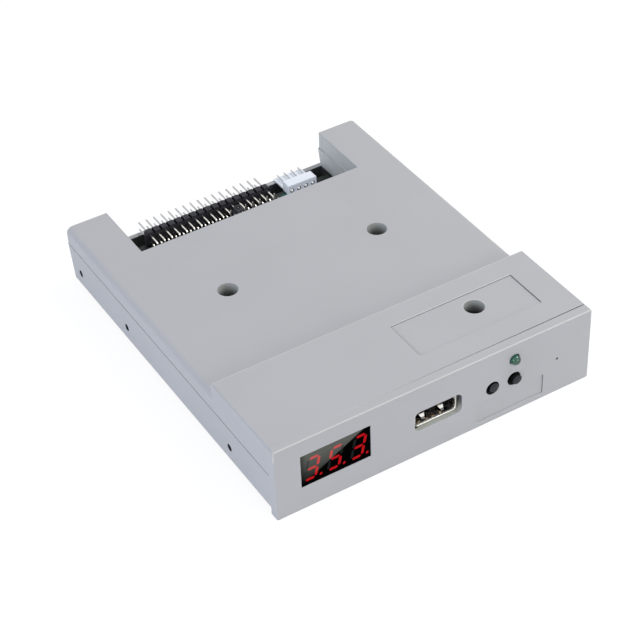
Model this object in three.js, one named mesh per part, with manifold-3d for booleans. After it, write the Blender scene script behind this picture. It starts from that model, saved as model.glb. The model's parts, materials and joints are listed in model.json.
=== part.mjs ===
// Floppy drive emulator: a flat case with a screen, a stick socket and two keys in its bezel,
// and pin headers in an open bay at the back.
// Millimetres: +X to the right seen from the front, +Y to the rear, +Z up.
// Places along Y are counted from the bezel's front face and heights from the bezel's lower edge.
// The finished drive is shifted along Y, so that the origin is at the middle of its box.

import * as THREE from "three";
import { mergeVertices } from "three/addons/utils/BufferGeometryUtils.js";
import Module from "manifold-3d";

const wasm = await Module();
wasm.setup();

// Case outline
const caseWidth = 101.6;
const caseDepth = 121.2;
const caseHeight = 24.5;
const bodyLift = 2.6;
const partingHeight = 14.36;
const mainTopHeight = 20.1;
const blockDepth = 32.2;
const bezelThickness = 2.9;
const coverGap = 0.15;
const bezelCornerRadius = 0.6;
const blockCornerRadius = 0.6;
const mainCornerRadius = 2;
const rearSlope = 2.2;
const sideWall = 1.6;
const floorThickness = 1.6;
const roofThickness = 1.8;

// Bay at the rear, between the two ears
const bayWidthShare = 0.7352;
const bayDepth = 22.95;
const lowerEarProud = 0.4;
const lipThickness = 1.6;
const lipOverBoard = 0.1;
const skirtOverBoard = 2.2;

// Circuit board
const boardThickness = 1.6;
const boardStandoff = 2.5;
const boardSetback = 2.4;
const boardEdgeGap = 0.6;
const boardHoleGap = 0.2;
const postRadius = 2.2;
const postInset = 4;
const postFront = 16;

// Tapped holes in the case's sides, and the bosses behind them
const sideHoleRadius = 1.4;
const sideHoleHeight = 7.15;
const sideHoleFront = 24.3;
const sideHoleRear = 6.9;
const sideHoleRearPitch = 30;
const sideHoleDepth = 5;
const sideBossRadius = 2.9;
const sideBossReach = 6.2;

// Screw wells in the cover, and the screws at their bottom
const wellOffsetShare = 0.4961;
const wellRearPlace = 68.7;
const wellFrontPlace = 19.45;
const wellRadius = 3;
const wellWall = 1.2;
const wellFloor = 1.5;
const wellOverBoard = 1.6;
const screwShankRadius = 1.3;
const screwShankLength = 4.4;
const screwHeadRadius = 2.7;
const screwHeadHeight = 1.9;
const screwSlotLength = 3.4;
const screwSlotWidth = 0.8;
const screwSlotDepth = 1;
const screwGap = 0.35;
const bossWall = 1.4;
const shoulderWidth = 1.2;

// Label field on the front block
const labelWidth = 40;
const labelLength = 14.6;
const labelInset = 9.45;
const labelFront = 10.3;
const labelSink = 0.35;

// Blank key field and dimple in the bezel
const keyFieldWidth = 22.4;
const keyFieldHeight = 6.6;
const keyFieldInset = 15.8;
const keyFieldBottom = 1.9;
const keyFieldSink = 0.35;
const dimpleInset = 11.25;
const dimpleRadius = 0.4;
const dimpleDepth = 0.6;

// Screen
const screenInset = 18.65;
const screenHeightShare = 0.5449;
const windowWidth = 21.4;
const windowHeight = 11;
const lensGap = 0.08;
const lensSink = 0.1;
const lensFlange = 0.8;
const moduleWidth = 22.5;
const moduleHeight = 9.9;
const moduleDepth = 6;
const screenBoardMargin = 0.75;
const screenBoardThickness = 1.2;

// Stick socket
const socketPlace = 0.1;
const socketOverBoard = 3.9;
const socketWidth = 13.3;
const socketHeight = 5.8;
const socketDepth = 13.5;
const socketSheet = 0.35;
const socketCornerRadius = 0.9;
const socketSink = 1.5;
const socketOpeningGapX = 0.95;
const socketOpeningGapZ = 0.4;
const socketOpeningRadius = 1.7;
const socketTabWidth = 2.2;
const socketTabPlace = 8;
const socketTabDrop = 0.9;
const tongueGap = 0.3;
const tongueSetback = 1.8;
const tongueThickness = 1.7;
const tongueRise = 0.5;
const tongueMargin = 0.5;
const tongueRootDepth = 2.6;

// Keys and the push switches behind them
const leftKeyShare = 0.3514;
const keyPitch = 7.1;
const keyOverBoard = 3.8;
const keyRadius = 1.8;
const keyGap = 0.35;
const keyChamfer = 0.25;
const leftKeyProud = 0.2;
const rightKeyProud = 1.1;
const keyTravel = 0.25;
const keyGrip = 1;
const switchWidth = 6;
const switchDepth = 4;
const switchOverKey = 3.4;
const switchSetback = 0.4;

// Lamp
const lampHeightShare = 0.7796;
const lampRadius = 1.5;
const lampGap = 0.15;
const lampProud = 1.8;
const lampFlange = 0.45;
const lampFlangeThickness = 1;
const lampLeadSize = 0.5;
const lampLeadPitch = 2.54;
const lampLeadReach = 6.8;

// Pins of all headers
const pinSize = 0.64;
const pinDrop = 1;

// Header of the ribbon cable, two rows of bent pins
const ribbonPitch = 2.54;
const ribbonColumns = 17;
const ribbonCentre = -7.1;
const ribbonDepth = 2.6;
const ribbonReach = 6;
const ribbonLegOffset = 1.5;
const ribbonOverhang = 0.6;

// Notch between two columns of a pin strip, as a share of the pitch
const notchShare = 0.2;

// Upright pins for settings, in front of the ribbon header
const jumperColumns = 7;
const jumperFirst = -3.9;
const jumperSetback = 3.7;
const jumperTall = 8.5;
const capColumn = 1;
const capWidth = 2.4;
const capLength = 5;
const capHeight = 5.9;
const capGap = 0.15;
const capPinGap = 0.25;

// Power header, one row of bent pins
const powerPitch = 2.5;
const powerColumns = 4;
const powerCentre = 25.3;
const powerMargin = 1.35;
const powerDepth = 3.6;
const powerHeight = 3.5;
const powerAxis = 1.3;
const powerShelfThickness = 0.6;
const powerShelfGap = 0.1;
const powerShelfEnd = 0.2;
const powerHoleRadius = 0.75;
const powerHoleDepth = 0.8;
const powerLegInset = 1.7;
const powerPinSink = 0.25;

// Chips
const chipSize = 10;
const chipHeight = 1.5;
const chipPlace = 68.7;
const regulatorWidth = 6.5;
const regulatorLength = 3.5;
const regulatorHeight = 1.6;
const regulatorPlace = -12;
const regulatorSetback = 12.25;
const regulatorTabWidth = 3;
const regulatorTabLength = 1.7;
const regulatorTabHeight = 0.5;
const regulatorLegs = 3;
const regulatorLegPitch = 2.2;
const regulatorLegWidth = 0.75;

// How far a cut runs past what it cuts
const overrun = 0.5;

// Sides of round shapes
const roundSides = 24;
const smallSides = 16;
const cornerSteps = 6;

// Heights and places that follow from the sizes above
const halfWidth = caseWidth / 2;
const floorTop = bodyLift + floorThickness;
const boardBottom = floorTop + boardStandoff;
const boardTop = boardBottom + boardThickness;
const pinEnd = boardBottom - pinDrop;
const bayHalf = halfWidth * bayWidthShare;
const bayFront = caseDepth - bayDepth;
const lowerBayHalf = bayHalf - lowerEarProud;
const lipTop = boardTop + lipOverBoard;
const boardFront = bezelThickness + boardSetback;
const boardHalf = halfWidth - sideBossReach - boardEdgeGap;
const boardTailHalf = lowerBayHalf - boardEdgeGap;
const boardTailFront = bayFront - boardEdgeGap;
const sideHolePlaces = [
  sideHoleFront,
  caseDepth - sideHoleRear - sideHoleRearPitch,
  caseDepth - sideHoleRear,
];

const wellBottom = boardTop + wellOverBoard;
const screwSeat = wellBottom + wellFloor;
const bossBore = screwShankRadius + screwGap;
const bossRadius = bossBore + bossWall;
const wellOffset = halfWidth * wellOffsetShare;
const wells = [
  { x: -wellOffset, y: wellRearPlace, top: mainTopHeight },
  { x: wellOffset, y: wellRearPlace, top: mainTopHeight },
  { x: wellOffset, y: wellFrontPlace, top: caseHeight },
];

const screenPlace = screenInset - halfWidth;
const screenHeight = caseHeight * screenHeightShare;
const lensBack = bezelThickness + lensFlange;
const moduleBack = lensBack + moduleDepth;
const screenBoardHalf = moduleWidth / 2 + screenBoardMargin;
const boardNotchX = screenPlace + screenBoardHalf + boardEdgeGap;

const socketAxis = boardTop + socketOverBoard;
const keyAxis = boardTop + keyOverBoard;
const leftKeyPlace = halfWidth * leftKeyShare;
const keyPlaces = [leftKeyPlace, leftKeyPlace + keyPitch];
const lampAxis = caseHeight * lampHeightShare;
const lampPlace = leftKeyPlace + keyPitch;
const lampLegPlace = bezelThickness + lampFlangeThickness + lampLeadReach;
const switchFront = boardFront + switchSetback;
const keyEnd = switchFront + keyGrip;

const ribbonBack = caseDepth - ribbonReach;
const ribbonFront = ribbonBack - ribbonDepth;
const boardRear = ribbonBack - ribbonOverhang;
const lowerRow = boardTop + ribbonPitch / 2;
const upperRow = lowerRow + ribbonPitch;
const lowerLeg = ribbonFront - ribbonLegOffset;
const upperLeg = lowerLeg - ribbonPitch;
const ribbonPlaces = columns(ribbonColumns, ribbonPitch, ribbonCentre);

const jumperCentre = jumperFirst + ((jumperColumns - 1) * ribbonPitch) / 2;
const jumperPlaces = columns(jumperColumns, ribbonPitch, jumperCentre);
const jumperRows = [upperLeg - jumperSetback, upperLeg - jumperSetback - ribbonPitch];
const jumperMiddle = (jumperRows[0] + jumperRows[1]) / 2;
const jumperStripTop = boardTop + ribbonPitch;

const powerFront = ribbonFront - (powerDepth - ribbonDepth);
const powerRow = boardTop + powerAxis;
const powerLeg = powerFront + powerLegInset;
const powerPlaces = columns(powerColumns, powerPitch, powerCentre);
const powerHalf = ((powerColumns - 1) * powerPitch) / 2 + powerMargin;

// Places of a row of equal copies about its middle.
function columns(count, pitch, centre) {
  return Array.from({ length: count }, (_, i) => centre + (i - (count - 1) / 2) * pitch);
}

// A closed mesh as a solid that can be joined and cut. Triangles without area, as at the
// pole of a turned shape, are left out.
function solidOf(geometry) {
  const bare = geometry.clone();
  bare.deleteAttribute("normal");
  bare.deleteAttribute("uv");
  const merged = mergeVertices(bare);
  const corners = merged.index.array;
  const kept = [];
  for (let i = 0; i < corners.length; i += 3) {
    const [a, b, c] = corners.slice(i, i + 3);
    if (a !== b && b !== c && c !== a) {
      kept.push(a, b, c);
    }
  }
  const mesh = new wasm.Mesh({
    numProp: 3,
    vertProperties: merged.attributes.position.array,
    triVerts: new Uint32Array(kept),
  });
  return new wasm.Manifold(mesh);
}

// A solid back as a mesh.
function geometryOf(solid) {
  const mesh = solid.getMesh();
  const geometry = new THREE.BufferGeometry();
  geometry.setAttribute("position", new THREE.BufferAttribute(mesh.vertProperties, 3));
  geometry.setIndex(new THREE.BufferAttribute(mesh.triVerts, 1));
  geometry.computeVertexNormals();
  return geometry;
}

// A block between two corners.
function block([x0, y0, z0], [x1, y1, z1]) {
  const geometry = new THREE.BoxGeometry(x1 - x0, y1 - y0, z1 - z0);
  return solidOf(geometry.translate((x0 + x1) / 2, (y0 + y1) / 2, (z0 + z1) / 2));
}

function extrusion(shape, depth) {
  return new THREE.ExtrudeGeometry(shape, {
    depth,
    bevelEnabled: false,
    curveSegments: cornerSteps,
  });
}

// A shape drawn in X and Z, drawn out along Y.
function prismY(shape, y0, y1) {
  return extrusion(shape, y1 - y0).rotateX(Math.PI / 2).translate(0, y1, 0);
}

// A shape drawn in Y and Z, drawn out along X.
function prismX(shape, x0, x1) {
  const turn = new THREE.Matrix4().makeBasis(
    new THREE.Vector3(0, 1, 0),
    new THREE.Vector3(0, 0, 1),
    new THREE.Vector3(1, 0, 0),
  );
  return extrusion(shape, x1 - x0).applyMatrix4(turn).translate(x0, 0, 0);
}

// A shape drawn in X and Y, drawn out along Z.
function prismZ(shape, z0, z1) {
  return extrusion(shape, z1 - z0).translate(0, 0, z0);
}

function rodX(radius, x0, x1, y, z, sides = roundSides) {
  const geometry = new THREE.CylinderGeometry(radius, radius, x1 - x0, sides);
  return solidOf(geometry.rotateZ(-Math.PI / 2).translate((x0 + x1) / 2, y, z));
}

function rodY(radius, y0, y1, x, z, sides = roundSides) {
  const geometry = new THREE.CylinderGeometry(radius, radius, y1 - y0, sides);
  return solidOf(geometry.translate(x, (y0 + y1) / 2, z));
}

function rodZ(radius, z0, z1, x, y, sides = roundSides) {
  const geometry = new THREE.CylinderGeometry(radius, radius, z1 - z0, sides);
  return solidOf(geometry.rotateX(Math.PI / 2).translate(x, y, (z0 + z1) / 2));
}

// A shape turned about an axis along Y. Its outline is given as radius and place along Y.
function turned(outline, sides = roundSides) {
  const points = outline.map(([radius, y]) => new THREE.Vector2(radius, y));
  return new THREE.LatheGeometry(points, sides);
}

function shapeOf(points) {
  return new THREE.Shape(points.map(([u, v]) => new THREE.Vector2(u, v)));
}

// A rectangle with round corners: lower corners of one radius, upper ones of another.
function roundedRectangle(u0, u1, v0, v1, lower, upper) {
  const shape = new THREE.Shape();
  shape.moveTo(u0 + lower, v0);
  shape.lineTo(u1 - lower, v0);
  if (lower > 0) shape.absarc(u1 - lower, v0 + lower, lower, -Math.PI / 2, 0, false);
  shape.lineTo(u1, v1 - upper);
  shape.absarc(u1 - upper, v1 - upper, upper, 0, Math.PI / 2, false);
  shape.lineTo(u0 + upper, v1);
  shape.absarc(u0 + upper, v1 - upper, upper, Math.PI / 2, Math.PI, false);
  shape.lineTo(u0, v0 + lower);
  if (lower > 0) shape.absarc(u0 + lower, v0 + lower, lower, Math.PI, Math.PI * 1.5, false);
  return shape;
}

// The lower shell's sloping rear, drawn in Y and Z, set in by a wall.
function trayProfile(front, bottom, top, inset) {
  const slopePerHeight = rearSlope / (partingHeight - bodyLift);
  const rearAt = (z) => caseDepth - inset - (partingHeight - z) * slopePerHeight;
  return shapeOf([
    [front, bottom],
    [rearAt(bottom), bottom],
    [rearAt(top), top],
    [front, top],
  ]);
}

// The lip overlaps the ears' inner walls, which slope away from it towards the floor.
function tray() {
  const outer = solidOf(prismX(
    trayProfile(bezelThickness / 2, bodyLift, partingHeight, 0),
    -halfWidth,
    halfWidth,
  ));
  const inner = solidOf(prismX(
    trayProfile(bezelThickness, floorTop, partingHeight + overrun, sideWall),
    sideWall - halfWidth,
    halfWidth - sideWall,
  ));
  const bay = block(
    [-lowerBayHalf, bayFront, floorTop],
    [lowerBayHalf, caseDepth + overrun, partingHeight + overrun],
  );
  const earWalls = [-1, 1].map((side) => {
    const near = side * lowerBayHalf;
    const far = side * (lowerBayHalf + sideWall);
    return block(
      [Math.min(near, far), bayFront, bodyLift],
      [Math.max(near, far), caseDepth, partingHeight],
    ).intersect(outer);
  });
  const floor = block(
    [-lowerBayHalf, bayFront, bodyLift],
    [lowerBayHalf, caseDepth, floorTop],
  );
  const lipHalf = lowerBayHalf + sideWall;
  const lip = block(
    [-lipHalf, caseDepth - lipThickness, bodyLift],
    [lipHalf, caseDepth, lipTop],
  );
  const open = outer.subtract(inner).subtract(bay);
  return [...earWalls, floor, lip].reduce((whole, piece) => whole.add(piece), open);
}

// Bosses behind the tapped side holes stand on the floor and reach in from the walls.
function sideBosses() {
  const outer = halfWidth - sideWall / 2;
  const inner = halfWidth - sideBossReach;
  return sideHolePlaces.flatMap((y) => [-1, 1].flatMap((side) => {
    const x0 = Math.min(side * outer, side * inner);
    const x1 = Math.max(side * outer, side * inner);
    return [
      rodX(sideBossRadius, x0, x1, y, sideHoleHeight, smallSides),
      block(
        [x0, y - sideBossRadius, floorTop - floorThickness / 2],
        [x1, y + sideBossRadius, sideHoleHeight],
      ),
    ];
  }));
}

function sideHoles() {
  return sideHolePlaces.flatMap((y) => [
    [-halfWidth - overrun, sideHoleDepth - halfWidth],
    [halfWidth - sideHoleDepth, halfWidth + overrun],
  ].map(([x0, x1]) => rodX(sideHoleRadius, x0, x1, y, sideHoleHeight, smallSides)));
}

// Each screw boss has a shoulder that the board rests on.
function screwBosses() {
  const root = floorTop - floorThickness / 2;
  return wells.flatMap(({ x, y }) => [
    rodZ(bossRadius, root, wellBottom, x, y),
    rodZ(bossRadius + shoulderWidth, root, boardBottom, x, y),
  ]);
}

function boardPosts() {
  const x = boardHalf - postInset;
  const places = [
    [-x, postFront],
    [x, postFront],
    [-x, boardTailFront - postInset],
    [x, boardTailFront - postInset],
  ];
  return places.map(([u, v]) => (
    rodZ(postRadius, floorTop - floorThickness / 2, boardBottom, u, v, smallSides)
  ));
}

function bezelOpenings() {
  const back = bezelThickness + overrun;
  const socketHalfX = socketWidth / 2 + socketOpeningGapX;
  const socketHalfZ = socketHeight / 2 + socketOpeningGapZ;
  const socketShape = roundedRectangle(
    socketPlace - socketHalfX,
    socketPlace + socketHalfX,
    socketAxis - socketHalfZ,
    socketAxis + socketHalfZ,
    socketOpeningRadius,
    socketOpeningRadius,
  );
  return [
    block(
      [screenPlace - windowWidth / 2, -overrun, screenHeight - windowHeight / 2],
      [screenPlace + windowWidth / 2, back, screenHeight + windowHeight / 2],
    ),
    solidOf(prismY(socketShape, -overrun, back)),
    ...keyPlaces.map((x) => rodY(keyRadius + keyGap, -overrun, back, x, keyAxis)),
    rodY(lampRadius + lampGap, -overrun, back, lampPlace, lampAxis),
    rodY(dimpleRadius, -overrun, dimpleDepth, halfWidth - dimpleInset, keyAxis, smallSides),
    block(
      [halfWidth - keyFieldInset - keyFieldWidth, -overrun, keyFieldBottom],
      [halfWidth - keyFieldInset, keyFieldSink, keyFieldBottom + keyFieldHeight],
    ),
  ];
}

// Tray and bezel are one moulding.
function lowerShell() {
  const bezel = solidOf(prismY(
    roundedRectangle(-halfWidth, halfWidth, 0, caseHeight, bezelCornerRadius, bezelCornerRadius),
    0,
    bezelThickness,
  ));
  const joined = [bezel, ...sideBosses(), ...screwBosses(), ...boardPosts()]
    .reduce((whole, piece) => whole.add(piece), tray());
  const bores = wells.map(({ x, y }) => (
    rodZ(bossBore, floorTop, wellBottom + overrun, x, y)
  ));
  const cuts = [...sideHoles(), ...bores, ...bezelOpenings()];
  return geometryOf(cuts.reduce((whole, cut) => whole.subtract(cut), joined));
}

// The cover's roof and walls, open at the front, below and over the bay.
function coverShell() {
  const front = bezelThickness + coverGap;
  const profile = (top, radius) => (
    roundedRectangle(-halfWidth, halfWidth, partingHeight, top, 0, radius)
  );
  const outer = solidOf(prismY(profile(mainTopHeight, mainCornerRadius), front, caseDepth))
    .add(solidOf(prismY(profile(caseHeight, blockCornerRadius), front, blockDepth)));
  const mainRoom = block(
    [sideWall - halfWidth, front - overrun, partingHeight - overrun],
    [halfWidth - sideWall, caseDepth - sideWall, mainTopHeight - roofThickness],
  );
  const blockRoom = block(
    [sideWall - halfWidth, front - overrun, partingHeight - overrun],
    [halfWidth - sideWall, blockDepth - sideWall, caseHeight - roofThickness],
  );
  const bay = block(
    [-bayHalf, bayFront, partingHeight - overrun],
    [bayHalf, caseDepth + overrun, mainTopHeight + overrun],
  );
  return outer.subtract(mainRoom).subtract(blockRoom).subtract(bay);
}

// Walls on three sides of the bay. The front one reaches down close to the board.
function bayWalls() {
  const top = mainTopHeight - roofThickness / 2;
  const outer = bayHalf + sideWall;
  return [
    block([-outer, bayFront, partingHeight], [-bayHalf, caseDepth, top]),
    block([bayHalf, bayFront, partingHeight], [outer, caseDepth, top]),
    block([-outer, bayFront - sideWall, boardTop + skirtOverBoard], [outer, bayFront, top]),
  ];
}

function upperShell() {
  const tubes = wells.map(({ x, y, top }) => (
    rodZ(wellRadius + wellWall, wellBottom, top - roofThickness / 2, x, y)
  ));
  const joined = [...bayWalls(), ...tubes]
    .reduce((whole, piece) => whole.add(piece), coverShell());
  const wellCuts = wells.flatMap(({ x, y, top }) => [
    rodZ(wellRadius, screwSeat, top + overrun, x, y),
    rodZ(screwShankRadius + screwGap, wellBottom - overrun, screwSeat + overrun, x, y),
  ]);
  const label = block(
    [halfWidth - labelInset - labelWidth, labelFront, caseHeight - labelSink],
    [halfWidth - labelInset, labelFront + labelLength, caseHeight + overrun],
  );
  return geometryOf([...wellCuts, label].reduce((whole, cut) => whole.subtract(cut), joined));
}

// A case screw about the origin: the underside of its head is at height zero.
function caseScrew() {
  const head = rodZ(screwHeadRadius, 0, screwHeadHeight, 0, 0);
  const shank = rodZ(screwShankRadius, -screwShankLength - wellFloor, overrun, 0, 0);
  const slot = (length, width) => block(
    [-length / 2, -width / 2, screwHeadHeight - screwSlotDepth],
    [length / 2, width / 2, screwHeadHeight + overrun],
  );
  return geometryOf(
    head.add(shank)
      .subtract(slot(screwSlotLength, screwSlotWidth))
      .subtract(slot(screwSlotWidth, screwSlotLength)),
  );
}

// Holes through the board: for pins and leads, the socket's tabs and the screw bosses.
function boardHoles() {
  const slot = (x, y, width, length) => block(
    [x - width / 2 - boardHoleGap, y - length / 2 - boardHoleGap, boardBottom - overrun],
    [x + width / 2 + boardHoleGap, y + length / 2 + boardHoleGap, boardTop + overrun],
  );
  const pins = [
    ...ribbonPlaces.flatMap((x) => [[x, lowerLeg], [x, upperLeg]]),
    ...jumperPlaces.flatMap((x) => jumperRows.map((y) => [x, y])),
    ...powerPlaces.map((x) => [x, powerLeg]),
  ];
  const tabX = socketWidth / 2 - socketSheet / 2;
  return [
    ...pins.map(([x, y]) => slot(x, y, pinSize, pinSize)),
    ...[-1, 1].flatMap((side) => [
      slot(lampPlace + (side * lampLeadPitch) / 2, lampLegPlace, lampLeadSize, lampLeadSize),
      slot(socketPlace + side * tabX, socketTabPlace, socketSheet, socketTabWidth),
    ]),
    ...wells.map(({ x, y }) => (
      rodZ(bossRadius + screwGap, boardBottom - overrun, boardTop + overrun, x, y)
    )),
  ];
}

// The board is notched beside the screen and narrower between the ears.
function mainBoard() {
  const shape = shapeOf([
    [boardNotchX, boardFront],
    [boardHalf, boardFront],
    [boardHalf, boardTailFront],
    [boardTailHalf, boardTailFront],
    [boardTailHalf, boardRear],
    [-boardTailHalf, boardRear],
    [-boardTailHalf, boardTailFront],
    [-boardHalf, boardTailFront],
    [-boardHalf, moduleBack],
    [boardNotchX, moduleBack],
  ]);
  const plate = solidOf(prismZ(shape, boardBottom, boardTop));
  return geometryOf(boardHoles().reduce((whole, hole) => whole.subtract(hole), plate));
}

// Outline of a pin strip: one bump to each column, with a notch between two columns.
function bumpedOutline(places, pitch, low, high, notch) {
  const lower = places.flatMap((x) => [
    [x - pitch / 2, low + notch],
    [x - pitch / 2 + notch, low],
    [x + pitch / 2 - notch, low],
  ]);
  const upper = [...places].reverse().flatMap((x) => [
    [x + pitch / 2, high - notch],
    [x + pitch / 2 - notch, high],
    [x - pitch / 2 + notch, high],
  ]);
  const last = places.length - 1;
  return shapeOf([
    ...lower,
    [places[last] + pitch / 2, low + notch],
    ...upper,
    [places[0] - pitch / 2, high - notch],
  ]);
}

// A passage for a pin along Y.
function pinPassage(x, front, back, height) {
  const half = pinSize / 2;
  return block(
    [x - half, front - overrun, height - half],
    [x + half, back + overrun, height + half],
  );
}

function ribbonHousing() {
  const top = boardTop + ribbonPitch * 2;
  const notch = ribbonPitch * notchShare;
  const shape = bumpedOutline(ribbonPlaces, ribbonPitch, boardTop, top, notch);
  const body = solidOf(prismY(shape, ribbonFront, ribbonBack));
  const passages = ribbonPlaces.flatMap((x) => [lowerRow, upperRow].map((height) => (
    pinPassage(x, ribbonFront, ribbonBack, height)
  )));
  return geometryOf(passages.reduce((whole, passage) => whole.subtract(passage), body));
}

// A bent pin at X zero: from its tip at the rear forward to its leg, and down through the board.
function bentPin(tip, leg, height) {
  const half = pinSize / 2;
  const shape = shapeOf([
    [leg - half, pinEnd],
    [leg + half, pinEnd],
    [leg + half, height - half],
    [tip, height - half],
    [tip, height + half],
    [leg - half, height + half],
  ]);
  return prismX(shape, -half, half);
}

// A power pin runs on past its leg, so that its other end shows in the housing's front.
function powerPin() {
  const half = pinSize / 2;
  const shape = shapeOf([
    [powerLeg - half, pinEnd],
    [powerLeg + half, pinEnd],
    [powerLeg + half, powerRow - half],
    [caseDepth, powerRow - half],
    [caseDepth, powerRow + half],
    [powerFront + powerPinSink, powerRow + half],
    [powerFront + powerPinSink, powerRow - half],
    [powerLeg - half, powerRow - half],
  ]);
  return prismX(shape, -half, half);
}

function jumperHeader() {
  const half = pinSize / 2;
  const notch = ribbonPitch * notchShare;
  const low = jumperRows[1] - ribbonPitch / 2;
  const high = jumperRows[0] + ribbonPitch / 2;
  const strip = solidOf(prismZ(
    bumpedOutline(jumperPlaces, ribbonPitch, low, high, notch),
    boardTop,
    jumperStripTop,
  ));
  const pins = jumperPlaces.flatMap((x) => jumperRows.map((y) => block(
    [x - half, y - half, pinEnd],
    [x + half, y + half, boardTop + jumperTall],
  )));
  return geometryOf(pins.reduce((whole, pin) => whole.add(pin), strip));
}

// The cap is a sleeve over two pins of one column, about its own middle.
function jumperCap() {
  const half = pinSize / 2 + capPinGap;
  const body = block([-capWidth / 2, -capLength / 2, 0], [capWidth / 2, capLength / 2, capHeight]);
  const passages = [-1, 1].map((side) => {
    const y = (side * ribbonPitch) / 2;
    return block([-half, y - half, -overrun], [half, y + half, capHeight + overrun]);
  });
  return geometryOf(passages.reduce((whole, passage) => whole.subtract(passage), body));
}

function powerHousing() {
  const left = powerCentre - powerHalf;
  const right = powerCentre + powerHalf;
  const body = block([left, powerFront, boardTop], [right, ribbonBack, boardTop + powerHeight]);
  const shelfBottom = lipTop + powerShelfGap;
  const shelf = block(
    [left, powerFront, shelfBottom],
    [right, caseDepth - powerShelfEnd, shelfBottom + powerShelfThickness],
  );
  const half = pinSize / 2;
  const cuts = powerPlaces.flatMap((x) => [
    pinPassage(x, powerFront, ribbonBack, powerRow),
    block([x - half, powerLeg - half, boardTop - overrun], [x + half, powerLeg + half, powerRow]),
    rodY(powerHoleRadius, powerFront - overrun, powerFront + powerHoleDepth, x, powerRow, smallSides),
  ]);
  return geometryOf(cuts.reduce((whole, cut) => whole.subtract(cut), body.add(shelf)));
}

// Half width and half height of the socket, less an inset, as a rounded outline.
function socketOutline(inset) {
  const halfX = socketWidth / 2 - inset;
  const halfZ = socketHeight / 2 - inset;
  const radius = socketCornerRadius - inset;
  return roundedRectangle(
    socketPlace - halfX,
    socketPlace + halfX,
    socketAxis - halfZ,
    socketAxis + halfZ,
    radius,
    radius,
  );
}

function socketShell() {
  const back = socketSink + socketDepth;
  const outer = solidOf(prismY(socketOutline(0), socketSink, back));
  const inner = solidOf(prismY(socketOutline(socketSheet), socketSink - overrun, back + overrun));
  const tabX = socketWidth / 2 - socketSheet / 2;
  const tabs = [-1, 1].map((side) => block(
    [socketPlace + side * tabX - socketSheet / 2, socketTabPlace - socketTabWidth / 2,
      boardBottom - socketTabDrop],
    [socketPlace + side * tabX + socketSheet / 2, socketTabPlace + socketTabWidth / 2,
      socketAxis],
  ));
  return geometryOf(outer.subtract(inner).add(tabs[0]).add(tabs[1]));
}

// The insert's root stands on the board behind the shell, and its tongue reaches forward.
function socketTongue() {
  const back = socketSink + socketDepth;
  const rootHalf = socketWidth / 2 - socketSheet - tongueGap;
  const tongueHalf = rootHalf - tongueMargin;
  const tongueBottom = socketAxis + tongueRise;
  const tongue = block(
    [socketPlace - tongueHalf, socketSink + tongueSetback, tongueBottom],
    [socketPlace + tongueHalf, back + tongueGap + overrun, tongueBottom + tongueThickness],
  );
  const root = block(
    [socketPlace - rootHalf, back + tongueGap, boardTop],
    [socketPlace + rootHalf, back + tongueGap + tongueRootDepth, socketAxis + socketHeight / 2],
  );
  return geometryOf(tongue.add(root));
}

// The lens fills the window, and its flange rests on the bezel's back.
function screenLens() {
  const halfX = windowWidth / 2;
  const halfZ = windowHeight / 2;
  const plate = block(
    [screenPlace - halfX + lensGap, lensSink, screenHeight - halfZ + lensGap],
    [screenPlace + halfX - lensGap, lensBack, screenHeight + halfZ - lensGap],
  );
  const flange = block(
    [screenPlace - halfX - lensFlange, bezelThickness, screenHeight - halfZ - lensFlange],
    [screenPlace + halfX + lensFlange, lensBack, screenHeight + halfZ + lensFlange],
  );
  return geometryOf(plate.add(flange));
}

function screenModule() {
  return new THREE.BoxGeometry(moduleWidth, moduleDepth, moduleHeight);
}

function screenBoard() {
  const top = screenHeight + moduleHeight / 2 + screenBoardMargin;
  const geometry = new THREE.BoxGeometry(screenBoardHalf * 2, screenBoardThickness, top - boardTop);
  return geometry.translate(0, 0, (top - boardTop) / 2);
}

// A key about its own axis: its stem reaches into the switch behind the bezel.
function key(proud) {
  return turned([
    [0, -proud],
    [keyRadius - keyChamfer, -proud],
    [keyRadius, keyChamfer - proud],
    [keyRadius, keyEnd],
    [0, keyEnd],
  ]);
}

// A switch body at X zero, with a blind bore for the key's stem.
function switchBody() {
  const body = block(
    [-switchWidth / 2, switchFront, boardTop],
    [switchWidth / 2, switchFront + switchDepth, keyAxis + switchOverKey],
  );
  const boreEnd = keyEnd + keyTravel + keyGap;
  return geometryOf(body.subtract(
    rodY(keyRadius + keyGap, switchFront - overrun, boreEnd, 0, keyAxis),
  ));
}

// The lamp's dome, stem and flange are turned, and its two legs run back and down to the board.
function lamp() {
  const dome = Array.from({ length: cornerSteps + 1 }, (_, i) => {
    const angle = (i / cornerSteps) * (Math.PI / 2);
    return [Math.sin(angle) * lampRadius, lampRadius * (1 - Math.cos(angle)) - lampProud];
  });
  const flangeBack = bezelThickness + lampFlangeThickness;
  const head = solidOf(turned([
    ...dome,
    [lampRadius, bezelThickness],
    [lampRadius + lampFlange, bezelThickness],
    [lampRadius + lampFlange, flangeBack],
    [0, flangeBack],
  ]));
  const half = lampLeadSize / 2;
  const drop = pinEnd - lampAxis;
  const lead = shapeOf([
    [flangeBack - lampFlangeThickness / 2, -half],
    [lampLegPlace - half, -half],
    [lampLegPlace - half, drop],
    [lampLegPlace + half, drop],
    [lampLegPlace + half, half],
    [flangeBack - lampFlangeThickness / 2, half],
  ]);
  const leads = [-1, 1].map((side) => {
    const x = (side * lampLeadPitch) / 2;
    return solidOf(prismX(lead, x - half, x + half));
  });
  return geometryOf(head.add(leads[0]).add(leads[1]));
}

function chip() {
  return new THREE.BoxGeometry(chipSize, chipSize, chipHeight).translate(0, 0, chipHeight / 2);
}

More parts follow.
